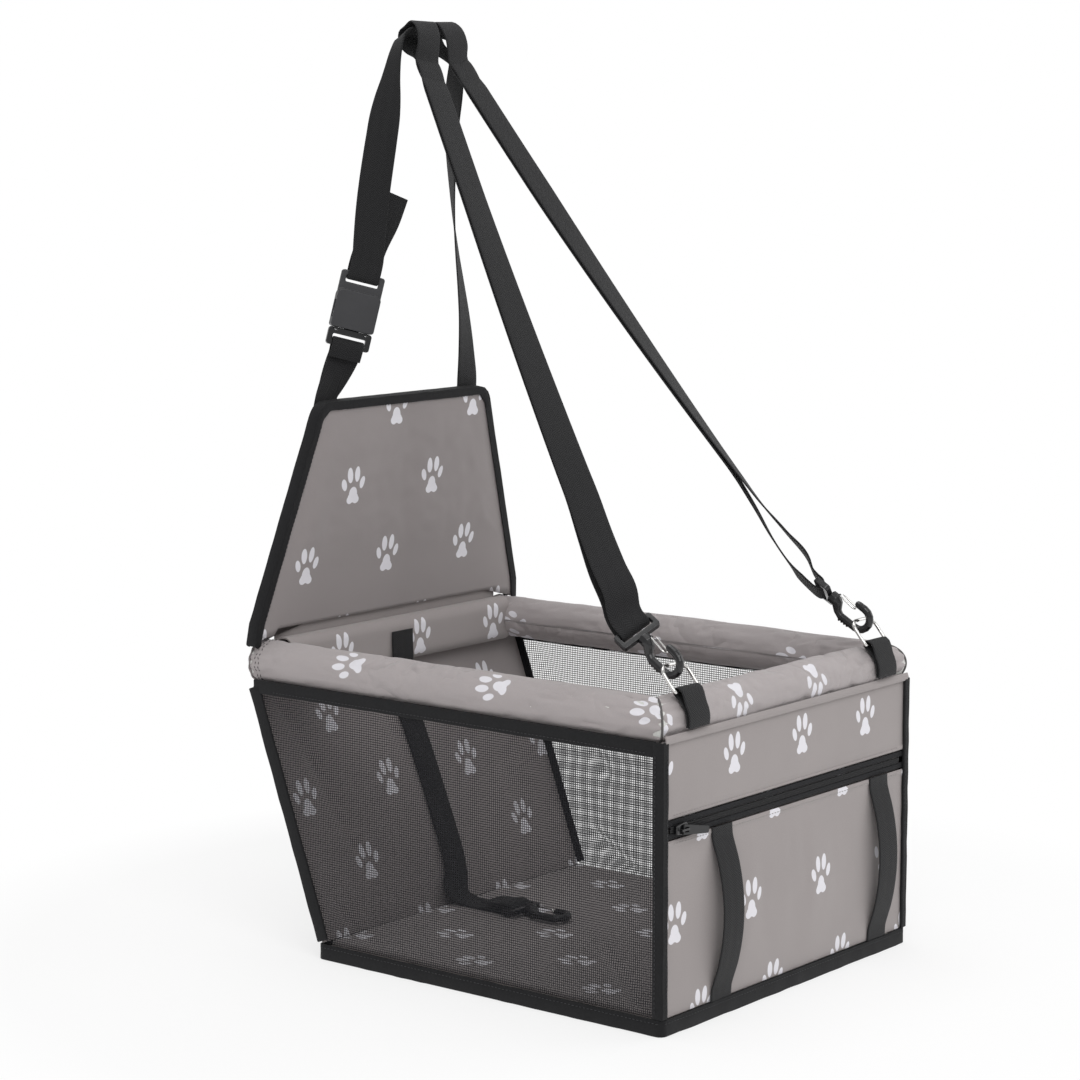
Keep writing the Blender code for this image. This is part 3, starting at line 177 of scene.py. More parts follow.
sky_strength, lamp_aim = 0.52, Vector((0, 0, 0.2))
world = bpy.data.worlds.new("studio")
bpy.context.scene.world = world
world.use_nodes = True
sky = world.node_tree
lamp_sky = sky.nodes["Background"]
lamp_sky.inputs["Color"].default_value = (1, 1, 1, 1)
lamp_sky.inputs["Strength"].default_value = sky_strength
seen_sky = sky.nodes.new("ShaderNodeBackground")
seen_sky.inputs["Color"].default_value = (1, 1, 1, 1)
path_kind = sky.nodes.new("ShaderNodeLightPath")
sky_mix = sky.nodes.new("ShaderNodeMixShader")
either = sky.nodes.new("ShaderNodeMath")
either.operation = "MAXIMUM"
sky.links.new(path_kind.outputs["Is Camera Ray"], either.inputs[0])
sky.links.new(path_kind.outputs["Is Transmission Ray"], either.inputs[1])
sky.links.new(either.outputs[0], sky_mix.inputs[0])
sky.links.new(lamp_sky.outputs[0], sky_mix.inputs[1])
sky.links.new(seen_sky.outputs[0], sky_mix.inputs[2])
sky.links.new(sky_mix.outputs[0], sky.nodes["World Output"].inputs["Surface"])
for name, spot, size, power in (
    ("key", (-1.3, -1.5, 2.1), 1.6, 26),
    ("fill", (1.7, -1.2, 1.1), 1.6, 9),
    ("top", (0.1, 0.3, 2.4), 1.4, 13),
):
    lamp = bpy.data.lights.new(name, "AREA")
    lamp.size, lamp.energy = size, power
    holder = linked(name, lamp)
    holder.location = spot
    holder.rotation_euler = (Vector(spot) - lamp_aim).to_track_quat("Z", "Y").to_euler()

# Printed cloth: a grey-taupe oxford with white paw prints in rows, every second row set over by half a step.
# The pattern is laid in metres on each piece's own UV map, whose zero is the middle of one print.

across_step, row_step = 0.096, 0.060
thread = 0.0009
# The rim's colour is lighter than the walls' grey: partly the cloth, partly painted light falling on the rim
# from above.
grey_dye, rim_cloth_and_painted_light, print_ink = (0.306, 0.276, 0.274), (0.415, 0.376, 0.376), (0.80, 0.785, 0.83)
pocket_dye = (0.338, 0.305, 0.300)
toe_long, toe_slim, lobe = 0.0062, 0.0030, 0.0036
paw_parts = [
    ((-0.0041, 0.0090), (toe_slim, toe_long), 5),
    ((0.0041, 0.0094), (toe_slim, toe_long), -5),
    ((-0.0100, 0.0016), (toe_slim * 0.88, toe_long * 0.80), 18),
    ((0.0100, 0.0024), (toe_slim * 0.88, toe_long * 0.80), -18),
    ((0.0, -0.0066), (lobe * 1.26, toe_long), 0),
    ((0.0, -0.0090), (lobe * 1.62, toe_long * 0.66), 0),
    ((-0.0034, -0.0108), (lobe, lobe * 0.9), 0),
    ((0.0034, -0.0108), (lobe, lobe * 0.9), 0),
]


def tint(colour, share=1.0):
    """A colour made darker or lighter by a share."""
    return (*[c * share for c in colour], 1)


def paw_print(finish, u, v, across, row_high, shift):
    """One where ink is, from the nearest print's toes and pad."""
    row = (v / row_high + 0.5).math("FLOOR")
    odd = row.math("FLOORED_MODULO", 2.0)
    here = (u - odd * (across * shift)).math("WRAP", across / 2, -across / 2)
    up = v - row * row_high
    nearest = None
    for (x, y), (wide, tall), lean in paw_parts:
        c, s = math.cos(math.radians(lean)), math.sin(math.radians(lean))
        a = ((here - x) * c + (up - y) * s) / wide
        b = ((up - y) * c - (here - x) * s) / tall
        inside = a * a + b * b
        nearest = inside if nearest is None else nearest.math("SMOOTH_MIN", inside, 0.12)
    return ((1.0 - nearest) * 7.0 + 0.5).math("ADD", 0.0, clamp=True)


def oxford(name, dye, across=across_step, row_high=row_step, shift=0.5, creased=0.0):
    """Plain-woven cloth with a faint sheen: two wave trains cross, and creases run where it is bunched."""
    finish = Finish(name, dye, 0.78, Sheen_Weight=0.25, Sheen_Roughness=0.5, Specular_IOR_Level=0.3)
    place, u, v, _ = finish.coordinates("UV")
    warp = (u * (math.tau / thread)).math("SINE")
    weft = (v * (math.tau / thread)).math("SINE")
    weave = warp * weft
    cloud = finish.speckle(place, 14.0, 3.0)
    grain = finish.speckle(place, 900.0, 1.0)
    tone = (cloud - 0.5) * 0.16 + (grain - 0.5) * 0.16 + weave * 0.035 + 0.94
    cloth = finish.mix(tone * 0.62, tint(dye, 0.35), tint(dye, 1.42))
    ink = paw_print(finish, u, v, across, row_high, shift)
    finish.set("Base Color", finish.mix(ink, cloth, tint(print_ink)))
    if creased:
        line = 1.0 - ((finish.speckle(place, 30.0, 2.0, 0.55) - 0.5) * 7.0).math("ABSOLUTE")
        bunched = ((finish.speckle(place, 9.0, 1.0) - 0.42) * 5.0).math("MAXIMUM", 0.15).math("MINIMUM", 1.0)
        fold = line.math("MAXIMUM", 0.0) * bunched
        finish.bump((weave * 0.5 + grain * 0.6) * 0.06 - fold, creased)
    else:
        finish.bump(weave * 0.5 + grain * 0.6, 0.00008)
    return finish.material


grey_oxford = oxford("grey_oxford", grey_dye)
rim_oxford = oxford("rim_oxford", rim_cloth_and_painted_light, creased=0.0024)
side_oxford = oxford("side_oxford", rim_cloth_and_painted_light, row_high=0.0705, creased=0.0024)
pocket_oxford = oxford("pocket_oxford", pocket_dye, across=0.090, row_high=0.0685, shift=0.36)
flap_oxford = oxford("flap_oxford", pocket_dye, across=0.086)
back_oxford = oxford("back_oxford", grey_dye, across=0.094)
channel_oxford = oxford("channel_oxford", pocket_dye, across=0.0925)

# Base: a folded cloth tray round a stiff board, and a black tape folded over its bottom edge. The tray is
# cut from the same printed cloth; the tape is pressed flat, with a fine rib across it and a line of stitches
# near its edge.

tape_dye, tape_rib = (0.0075, 0.0075, 0.0085), 0.0011
floor_print = (-0.083, 0.056)
wobble_scale, wobble_shifts = 70, (Vector((9.3, -1.5, -8.0)), Vector((0, 0, 0)), Vector((6.3, 0.2, -2.7)))


def only(made):
    """Select one piece alone, as operators need."""
    bpy.ops.object.select_all(action="DESELECT")
    made.select_set(True)
    bpy.context.view_layer.objects.active = made
    return made


def lay_print(made, place):
    """A UV map in metres: place gives a point's two numbers on the cloth."""
    layers = made.data.uv_layers
    cloth = layers.active or layers.new(name="cloth")
    spots = [place(v.co) for v in made.data.vertices]
    for loop in made.data.loops:
        cloth.data[loop.index].uv = spots[loop.vertex_index]
    return made


def laid(origin, up="z"):
    """Where a flat piece's points lie on its cloth, measured from the middle of a print."""
    return lambda p: (p.x - origin[0], getattr(p, up) - origin[1])


def modify(made, kind, **settings):
    """Add one modifier with its settings."""
    modifier = made.modifiers.new(kind.lower(), kind)
    for key, value in settings.items():
        setattr(modifier, key, value)
    return modifier


def apply_all(made):
    """Apply a piece's modifiers in their order."""
    only(made)
    for modifier in list(made.modifiers):
        bpy.ops.object.modifier_apply(modifier=modifier.name)
    return made


def dress(made, body, material, *nodes):
    """Give a piece its material and body, and name the CAD nodes that it takes the place of."""
    made.data.materials.clear()
    made.data.materials.append(material)
    if nodes:
        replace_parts(made, *nodes)
    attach(made, body)
    return made


def rounded_copy(node, name, edge, longest=0.006, wobble=0.0):
    """A finer copy of a CAD piece: merged, its edges rounded, long faces cut up and left a little uneven."""
    made = bpy.data.objects[node].copy()
    made.data = made.data.copy()
    made.name = name
    for key in list(made.keys()):
        del made[key]
    bpy.context.scene.collection.objects.link(made)
    made.hide_render = False
    only(made)
    bpy.ops.object.mode_set(mode="EDIT")
    bpy.ops.mesh.select_all(action="SELECT")
    bpy.ops.mesh.remove_doubles(threshold=0.00002)
    bpy.ops.mesh.dissolve_limited(angle_limit=math.radians(1))
    bpy.ops.object.mode_set(mode="OBJECT")
    if edge:
        modify(made, "BEVEL", width=edge, segments=2, limit_method="ANGLE", angle_limit=math.radians(35))
        apply_all(made)
    if longest:
        shape = bmesh.new()
        shape.from_mesh(made.data)
        bmesh.ops.triangulate(shape, faces=[f for f in shape.faces if len(f.verts) > 4])
        for turn in range(6):
            long_edges = [e for e in shape.edges if e.calc_length() > longest]
            if not long_edges:
                break
            bmesh.ops.subdivide_edges(shape, edges=long_edges, cuts=1, use_grid_fill=True)
        shape.to_mesh(made.data)
        shape.free()
    if wobble:
        for v in made.data.vertices:
            v.co += Vector([noise.noise(v.co * wobble_scale + shift) for shift in wobble_shifts]) * wobble
    only(made)
    bpy.ops.object.shade_smooth_by_angle(angle=math.radians(40))
    return made


def ribbed_tape():
    """Pressed polyester tape: fine ribs by place, a few paler rubbed threads."""
    finish = Finish("black_tape", tape_dye, 0.62, Specular_IOR_Level=0.2, Sheen_Weight=0.05)
    place, x, y, z = finish.coordinates("Object")
    ribs = ((x + y + z) * (math.tau / tape_rib)).math("SINE")
    worn = finish.speckle(place, 420.0, 2.0)
    tone = (ribs * 0.12 + worn * 0.9) * 0.6
    finish.set("Base Color", finish.mix(tone, tint(tape_dye, 0.7), tint(tape_dye, 2.3)))
    finish.bump(ribs * 0.5 + worn, 0.00012)
    return finish.material


black_tape = ribbed_tape()
base_cover = rounded_copy("base_cover", "base_tray", 0.0004, longest=0.02)
lay_print(base_cover, laid(floor_print, "y"))
dress(base_cover, "root", grey_oxford, "base_cover")
base_tape = rounded_copy("base_binding", "base_tape", 0.0007, longest=0.008, wobble=0.0005)
dress(base_tape, "root", black_tape, "base_binding")


def grained(name, dark, pale, roughness, scale, detail, rise):
    """A plain material whose tone and skin follow one fine noise."""
    finish = Finish(name, dark, roughness)
    place, *_ = finish.coordinates("Object")
    grain = finish.speckle(place, scale, detail)
    finish.set("Base Color", finish.mix(grain, tint(dark), tint(pale)))
    finish.bump(grain, rise)
    return finish.material


def coat(material, *nodes):
    """CAD pieces that show as they are, in their real material."""
    for node in nodes:
        slots = bpy.data.objects[node].data.materials
        slots.clear()
        slots.append(material)


grey_board = grained("grey_board", (0.42, 0.40, 0.37), (0.58, 0.56, 0.53), 0.8, 300.0, 3.0, 0.0001)
coat(grey_board, "base_board", "backrest_board")

# Floor pad: thin wadding in a printed cloth cover that lies on the board. It is blown up as cloth from a
# slightly smaller slab, and its crown is capped by what the tray leaves free.

pad_low, pad_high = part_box("floor_pad")
pad_cap, pad_steps = 0.0022, 16
pad_voxel = 0.0040
pad_short, pad_edge, pad_over = (0.0004, 0.0004, 0.0036), 0.0018, 0.001
pad_crown, pad_pucker = 0.0022, 0.0006
bpy.ops.object.select_all(action="DESELECT")
bpy.ops.mesh.primitive_cube_add(size=1, location=(0, 0, 0))
pad = bpy.context.object
pad.name = "floor_cushion"
pad_middle, pad_size = (pad_low + pad_high) / 2, pad_high - pad_low
for v in pad.data.vertices:
    v.co = Vector(pad_middle[i] + v.co[i] * (pad_size[i] - pad_short[i]) for i in range(3))
modify(pad, "BEVEL", width=pad_edge, segments=2)
modify(pad, "REMESH", mode="VOXEL", voxel_size=pad_voxel, use_smooth_shade=True)
apply_all(pad)
start_places = [v.co.copy() for v in pad.data.vertices]
swelling = pad.modifiers.new("swelling", "CLOTH")
swelling.settings.use_pressure = True
swelling.settings.uniform_pressure_force = 4.0
swelling.settings.effector_weights.gravity = 0
swelling.point_cache.frame_start, swelling.point_cache.frame_end = 1, pad_steps
for step in range(1, pad_steps + 1):
    bpy.context.scene.frame_set(step)
apply_all(pad)
bpy.context.scene.frame_set(1)
for v, start in zip(pad.data.vertices, start_places):
    move = v.co - start
    if move.length > pad_cap:
        move *= pad_cap / move.length
    u = (start.x - pad_low.x) / pad_size.x
    w = (start.y - pad_low.y) / pad_size.y
    crown = max(0.0, math.sin(math.pi * u) * math.sin(math.pi * w)) ** 0.35
    pucker = noise.noise(Vector((start.x * 26, start.y * 26, 3.1))) * pad_pucker
    lift = (pad_size.z * 0.16 + pad_crown * crown + pucker) if start.z > pad_middle.z else 0
    v.co = start + Vector((move.x * 0.1, move.y * 0.1, max(0.0, move.z) * 0.2 + lift))
    v.co.z = min(max(v.co.z, pad_low.z), pad_high.z + pad_over)
    v.co.x = min(max(v.co.x, pad_low.x), pad_high.x)
    v.co.y = min(max(v.co.y, pad_low.y), pad_high.y)
only(pad)
bpy.ops.object.shade_smooth()
lay_print(pad, laid(floor_print, "y"))
dress(pad, "root", grey_oxford, "floor_pad")

# Walls: single sheets of the printed cloth. The zip pocket's panel swells a little and waves beside its
# loops, the flap over it is drawn flat, and the lining and the rear wall stand behind them.

panel_print, flap_print, rear_print = (-0.053, 0.0787), (-0.072, 0.189), (-0.087, 0.173)
flange_print, lining_print = (-0.03, 0.19), (-0.02, 0.155)
hem_reach, hem_rise, hem_back = 0.0040, 0.0008, 0.0009
panel_stand, panel_cloth, wall_cloth = 0.0012, 0.0010, 0.0014
flange_low, flange_high, flange_front = 0.2090, 0.2152, 0.0020
flange_inset, flange_cloth, flange_wave = 0.001, 0.0012, 0.0006
lining_cloth, lining_stand, lining_wave = 0.0009, 0.0001, 0.0002
rear_stand, rear_wave, foot_lap, near_foot = 0.0003, 0.0009, 0.0013, 0.002


def shaped_grid(name, cells, spot, thickness=0.0):
    """A grid laid out by spot(u, v), each from 0 to 1, and given its cloth's thickness."""
    bpy.ops.object.select_all(action="DESELECT")
    bpy.ops.mesh.primitive_grid_add(x_subdivisions=cells[0], y_subdivisions=cells[1], size=1)
    made = bpy.context.object
    made.name = name
    for v in made.data.vertices:
        v.co = spot(v.co.x + 0.5, v.co.y + 0.5)
    if thickness:
        modify(made, "SOLIDIFY", thickness=thickness, offset=-1)
        apply_all(made)
    only(made)
    bpy.ops.object.shade_smooth_by_angle(angle=math.radians(50))
    return made


def flatness(p, scale, depth, seed=0.0):
    """The small, mostly upright unevenness of a hung cloth."""
    return noise.noise(Vector((p[0] * scale, p[1] * scale * 0.35, seed))) * depth


def hem(distance):
    """How far a folded hem stands out, by the distance from its folded edge."""
    t = distance / hem_reach
    return hem_rise * math.sqrt(max(0.0, 1 - (2 * t - 1) ** 4)) if 0 <= t <= 1 else 0.0


def front_sheet(node, name, bulge, waves, cells, cloth, origin, zip_side):
    """A panel of the pocket, whose edge beside the zip is folded into a hem."""
    low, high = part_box(node)
    low.z, high.z = (low.z + hem_back, high.z) if zip_side < 0 else (low.z, high.z - hem_back)

    def spot(u, v):
        x, z = low.x + (high.x - low.x) * u, low.z + (high.z - low.z) * v
        held = math.sin(math.pi * v) * math.cos(math.pi / 2 * min(1, abs(2 * u - 1) * 1.02))
        coarse = noise.noise(Vector((x * 34, z * 9, 1.7)))
        ripple = waves * held * (coarse + 0.4 * noise.noise(Vector((x * 90, z * 30, 5))))
        edge = high.z - z if zip_side > 0 else z - low.z
        return Vector((x, high.y - panel_stand - bulge * held - ripple - hem(edge), z))

    made = shaped_grid(name, cells, spot, panel_cloth)
    lay_print(made, laid(origin))
    dress(made, "root", cloth, node)
    return made


front_sheet("pocket_panel", "pocket_front", 0.0036, 0.0011, (120, 110), pocket_oxford, panel_print, 1)
front_sheet("pocket_flap", "pocket_top", 0.0009, 0.0006, (120, 60), flap_oxford, flap_print, -1)
flap_low, flap_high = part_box("pocket_flap")
lining_low, lining_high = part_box("front_lining")


def flange_spot(u, v):
    """The seam strip folded down in front of the flap's top edge."""
    x = flap_low.x + flange_inset + (flap_high.x - flap_low.x - 2 * flange_inset) * u
    out = flange_front * math.sin(math.pi * (0.15 + 0.7 * v))
    wave = abs(flatness((u * 0.3, v), 60, flange_wave))
    return Vector((x, flap_low.y - out - wave, flange_low + (flange_high - flange_low) * v))


def lining_spot(u, v):
    """The lining hangs close behind the pocket's panel."""
    x, z = (lining_low[i] + (lining_high[i] - lining_low[i]) * share for i, share in ((0, u), (2, v)))
    return Vector((x, lining_low.y + lining_stand + abs(flatness((u, v), 5, lining_wave)), z))


flange = shaped_grid("front_seam", (160, 8), flange_spot, flange_cloth)
lay_print(flange, lambda p: (p.x * 0.1 - flange_print[0], p.z - flange_print[1]))
dress(flange, "root", flap_oxford)
lining = shaped_grid("pocket_lining", (60, 40), lining_spot, lining_cloth)
lay_print(lining, laid(lining_print))
dress(lining, "root", grey_oxford, "front_lining")

rear_low, rear_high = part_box("rear_wall")
rear_mesh = bpy.data.objects["rear_wall"].data
rear_foot_y = max(v.co.y for v in rear_mesh.vertices if v.co.z < rear_low.z + near_foot)
rear_slope = (rear_high.y - rear_foot_y) / (rear_high.z - rear_low.z)


def rear_spot(u, v):
    """The rear wall leans out towards the rim, softest in its middle."""
    x = rear_high.x + (rear_low.x - rear_high.x) * u
    z = rear_low.z - foot_lap + (rear_high.z - rear_low.z + foot_lap) * v
    soft = math.sin(math.pi * v) * math.sin(math.pi * u)
    wave = abs(flatness((x, z), 22, rear_wave)) * soft
    return Vector((x, rear_foot_y + rear_slope * (z - rear_low.z) - rear_stand - wave, z))


rear_sheet = shaped_grid("rear_sheet", (90, 60), rear_spot, wall_cloth)
lay_print(rear_sheet, lambda p: (p.x - rear_print[0], (p.z - rear_print[1]) * math.hypot(1, rear_slope)))
dress(rear_sheet, "root", grey_oxford, "rear_wall")

# Nets: fine knitted mesh drawn over each side, dark and see-through, with a few soft creases where it hangs
# slack behind the tape. The tapes are folded over the corners and along the nets' top edges.

net_pitch, net_open, net_haze = 0.0018, 0.44, 0.06
crease_rise, crease_wide, slack_rise, held_reach, foot_reach = 0.0024, 0.006, 0.0007, 0.02, 0.008
creases = [
    ((0.172, 0.196), (0.135, 0.155)), ((0.135, 0.155), (0.095, 0.095)), ((-0.150, 0.052), (-0.188, 0.012)),
    ((0.060, 0.200), (0.020, 0.150)), ((-0.090, 0.203), (-0.060, 0.172)), ((0.105, 0.040), (0.060, 0.012)),
]


def knitted_net():
    """Black knit whose square holes let the light through, a little unevenly."""
    finish = Finish("knitted_net", (0.009, 0.009, 0.011), 0.7, Sheen_Weight=0.05, Specular_IOR_Level=0.2)
    place, _, y, z = finish.coordinates("Object")
    hole = (y * (math.pi / net_pitch)).math("SINE").math("ABSOLUTE").math(
        "MINIMUM", (z * (math.pi / net_pitch)).math("SINE").math("ABSOLUTE"))
    uneven = finish.speckle(place, 60.0, 2.0) * 0.05
    finish.set("Alpha", ((net_open + uneven - hole) * 2.6 + 0.5).math("ADD", net_haze, clamp=True))
    grain = finish.speckle(place, 700.0)
    finish.set("Base Color", finish.mix(grain, (0.004, 0.004, 0.006, 1), (0.016, 0.016, 0.020, 1)))
    finish.bump(hole * -1.0, 0.0002)
    return finish.material


def crease_at(y, z):
    """The creases' rise at a place: each is a soft ridge along a line that fades out past its ends."""
    rise = 0.0
    for (y0, z0), (y1, z1) in creases:
        run_y, run_z = y1 - y0, z1 - z0
        t = max(0.0, min(1.0, ((y - y0) * run_y + (z - z0) * run_z) / (run_y**2 + run_z**2)))
        away = math.hypot(y - y0 - run_y * t, z - z0 - run_z * t)
        rise += math.exp(-((away / crease_wide) ** 2)) * (1 - 0.4 * t)
    return rise


tape_tuck, tape_slim, net_lap, net_start_lap = 0.0170, 0.0042, 0.0018, 0.00288
tape_inner, post_inner, tuck_reach, lap_reach = 0.1515, 0.1915, 0.004, 0.003
net_finish = knitted_net()
for side, node in ((-1, "net_left"), (1, "net_right")):
    net_low, net_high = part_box(node)
    net_x = (net_low.x + net_high.x) / 2
    net_points = [v.co for v in bpy.data.objects[node].data.vertices]
    foot_back = max(p.y for p in net_points if p.z < net_low.z + near_foot)

    def net_spot(u, v):
        back = foot_back + (net_high.y - foot_back) * v
        y, z = net_low.y + (back - net_low.y) * u, net_low.z + (net_high.z - net_low.z) * v
        edge = min(y - net_low.y, back - y, net_high.z - z)
        held = min(1.0, edge / held_reach, (z - net_low.z) / foot_reach)
        slack = crease_at(y, z) * crease_rise
        slack += slack_rise * (1 + noise.noise(Vector((y * 18, z * 24, side * 4.0))))
        return Vector((net_x + side * max(0.0, held) * slack, y, z))

    net = shaped_grid(node + "_mesh", (150, 80), net_spot)
    dress(net, "root", net_finish, node)
for name in (f"{place}_binding_{side}" for place in ("front", "rear", "net") for side in ("left", "right")):
    folded = rounded_copy(name, name + "_tape", 0.0006, longest=0.008, wobble=0.0004)
    if name.startswith("net"):
        tape_start, tape_end = (pick(v.co.y for v in folded.data.vertices) for pick in (min, max))
        for v in folded.data.vertices:
            if v.co.y > tape_end - tuck_reach:
                v.co.y += tape_tuck
            elif v.co.y < tape_start + lap_reach:
                v.co.y -= net_start_lap
    else:
        for v in folded.data.vertices:
            if abs(v.co.x) < tape_inner:
                v.co.x += math.copysign(tape_slim, v.co.x)
            if name.startswith("front") and v.co.y > -post_inner:
                v.co.y -= net_lap
    dress(folded, "root", black_tape, name)

# Rim: cloth drawn over foam and pipe. Its colour is lighter than the walls', partly the cloth and partly
# painted light falling on the rim from above. It puckers where the tubes are mitred at the front corners and
# where their rear ends are sewn shut, and small wrinkles run along and round it.

rim_radius, rim_half, sleeve_wall, slit, rear_gap = 0.0179, 0.018, 0.0009, 0.0003, 0.0002
rim_cells, rim_round = 150, 60
rim_y, rim_x, rim_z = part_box("rim_sleeve_front")[0].y + rim_half, 0.142, 0.222
rear_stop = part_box("rim_sleeve_left")[1].y - rear_gap
front_print, front_print_turn = -0.063, math.radians(22)
side_print, side_print_turn = 0.0984, math.radians(41)
slack_depth, small_wrinkle, long_wrinkle, seam_dip, seam_wide = 0.0007, 0.0030, 0.0022, 0.0008, 0.0022


def wrinkle(along, turn, from_mitre, from_end, seed):
    """How deep the cloth lies under the full tube: puckers at the seams, soft wrinkles elsewhere."""
    c, s = math.cos(turn) * 1.3, math.sin(turn) * 1.3
    depth = slack_depth * (1 + noise.noise(Vector((along * 24, c, s + seed))))
    depth += small_wrinkle * max(0.0, noise.noise(Vector((along * 70 + c * 2, c * 1.6, s * 1.6 + seed)))) ** 2
    depth += long_wrinkle * max(0.0, noise.noise(Vector((along * 26, c * 4, s * 4 + seed * 3)))) ** 2
    for away, reach, count, size in ((from_mitre, 0.026, 13, 0.0014), (from_end, 0.022, 13, 0.0013)):
        if away is not None:
            uneven = 5 * noise.noise(Vector((seed, turn, 1.0)))
            grip = math.exp(-((away / reach) ** 2))
            depth += size * grip * (0.5 + 0.5 * math.sin(count * turn + uneven))
            depth += seam_dip * math.exp(-((away / seam_wide) ** 2))
    return depth


def threads(name, colour):
    """Spun thread, paler and darker along its twist."""
    return grained(name, tint(colour, 0.7)[:3], tint(colour, 1.4)[:3], 0.6, 2500.0, 1.0, 0.00005)


def from_shape(name, shape, sharp=None):
    """A piece from finished faces, shaded smooth, up to a sharp angle in degrees if there is one."""
    mesh = bpy.data.meshes.new(name)
    shape.to_mesh(mesh)
    shape.free()
    made = only(linked(name, mesh))
    if sharp:
        bpy.ops.object.shade_smooth_by_angle(angle=math.radians(sharp))
    else:
        bpy.ops.object.shade_smooth()
    return made


def tube_skin(shape, rows, flip=False):
    """Faces between closed rows of points, each joined to the next."""
    for row, after in zip(rows, rows[1:]):
        for k in range(len(row)):
            m = (k + 1) % len(row)
            quad = [row[k], row[m], after[m], after[k]]
            shape.faces.new(quad[::-1] if flip else quad)


def loop_cord(name, ring, thick, material):
    """A closed cord through the given points."""
    line = bpy.data.curves.new(name, "CURVE")
    line.dimensions, line.bevel_depth, line.bevel_resolution = "3D", thick, 2
    path = line.splines.new("POLY")
    path.points.add(len(ring) - 1)
    for point, spot in zip(path.points, ring):
        point.co = (*spot, 1)
    path.use_cyclic_u = True
    only(linked(name, line))
    bpy.ops.object.convert(target="MESH")
    bpy.ops.object.shade_smooth()
    return dress(bpy.context.object, "root", material)


def rim_tube(name, start, end, outward, mitre_end, seed, material, place):
    """A sleeve mitred where it starts; outward points away from the basket, and mitre_end is 1 or 0."""
    shape = bmesh.new()
    length, along = (end - start).length, (end - start).normalized()
    skins = []
    for wall in (0.0, sleeve_wall):
        rows = []
        for i in range(rim_cells + 1):
            t = 0.35 * i / rim_cells + 0.65 * (0.5 - 0.5 * math.cos(math.pi * i / rim_cells))
            row = []
            for k in range(rim_round):
                turn = math.tau * k / rim_round
                away = length * t
                if mitre_end:
                    deep = wrinkle(away, turn, min(away, length - away), None, seed)
                else:
                    deep = wrinkle(away, turn, away, length - away, seed)
                reach = rim_radius - deep - wall
                side = outward * math.cos(turn) * reach + Vector((0, 0, math.sin(turn) * reach))
                lead = math.cos(turn) * reach
                lag = lead * mitre_end
                row.append(shape.verts.new(start + side + along * (length * t - lead * (1 - t) + lag * t)))
            rows.append(row)
        skins.append(rows)
    outer, inner = skins
    tube_skin(shape, outer)
    tube_skin(shape, inner, flip=True)
    for end_row in (0, -1):
        tube_skin(shape, [outer[end_row], inner[end_row]])
    bmesh.ops.recalc_face_normals(shape, faces=shape.faces)
    made = from_shape(name + "_sleeve", shape, 60)
    lay_print(made, place)
    dress(made, "root", material, "rim_sleeve_" + name)


def round_front(p):
    """A point of the front sleeve on its cloth laid flat."""
    turn = math.atan2(p.z - rim_z, rim_y - p.y)
    return (p.x - front_print, -rim_radius * (turn - front_print_turn))


def round_side(p):
    """A point of a side sleeve on its cloth laid flat."""
    side = -1 if p.x < 0 else 1
    turn = math.atan2(p.z - rim_z, side * p.x - rim_x)
    return (rim_radius * (turn - side_print_turn), p.y - side_print)


front_left, front_right = Vector((-rim_x + slit, rim_y, rim_z)), Vector((rim_x - slit, rim_y, rim_z))
rim_tube("front", front_left, front_right, Vector((0, -1, 0)), 1, 2.0, rim_oxford, round_front)
for side, name in ((-1, "left"), (1, "right")):
    ends = [Vector((side * rim_x, y, rim_z)) for y in (rim_y + slit, rear_stop)]
    rim_tube(name, *ends, Vector((side, 0, 0)), 0, 7.0 + side, side_oxford, round_side)

# The dark cord round each mitre is partly its seam and partly painted shade of the deep groove where the
# tubes meet.
mitre_cord, mitre_reach, mitre_points = 0.0009, rim_radius - 0.0023, 72
cord_of_seam_and_shade = threads("thread_and_shade_at_mitre", (0.085, 0.080, 0.078))
for side, name in ((-1, "left"), (1, "right")):
    ring = []
    for k in range(mitre_points):
        turn = math.tau * k / mitre_points
        out, up = math.cos(turn) * mitre_reach, math.sin(turn) * mitre_reach
        ring.append(Vector((side * (rim_x + out), rim_y - out, rim_z + up)))
    loop_cord(name + "_mitre_seam", ring, mitre_cord, cord_of_seam_and_shade)

pale_foam = grained("pale_foam", (0.50, 0.50, 0.48), (0.80, 0.80, 0.77), 0.95, 900.0, 2.0, 0.0002)
pipe_finish = Finish("white_pipe", (0.8, 0.8, 0.78), 0.4)
pipe_place, *_ = pipe_finish.coordinates("Object")
pipe_haze = pipe_finish.speckle(pipe_place, 60.0, 3.0)
pipe_finish.set("Roughness", pipe_haze * 0.2 + 0.3)
pipe_finish.bump(pipe_haze, 0.00005)
for place in ("front", "left", "right"):
    coat(pale_foam, "rim_foam_" + place)
    coat(pipe_finish.material, "rim_pipe_" + place)
coat(pipe_finish.material, "rear_pipe")

channel_tuck, channel_end, channel_front, channel_wave = 0.0085, 0.122, 0.19, 0.0007
channel_print, end_print = (-0.0754, 0.2215), (-0.02, -0.03)
channel_cloth = rounded_copy("rear_channel", "rear_sleeve", 0.0, longest=0.008)
for v in channel_cloth.data.vertices:
    if abs(v.co.x) > channel_end:
        v.co.x += math.copysign(channel_tuck, v.co.x)
    if v.co.y < channel_front:
        v.co.y += abs(flatness((v.co.x, v.co.z), 40, channel_wave))
lay_print(channel_cloth, laid(channel_print))
dress(channel_cloth, "root", channel_oxford, "rear_channel")

end_gap, end_crown, end_gather, end_inset, end_eye_share = 0.0005, 0.0018, 0.0004, 0.0006, 0.02


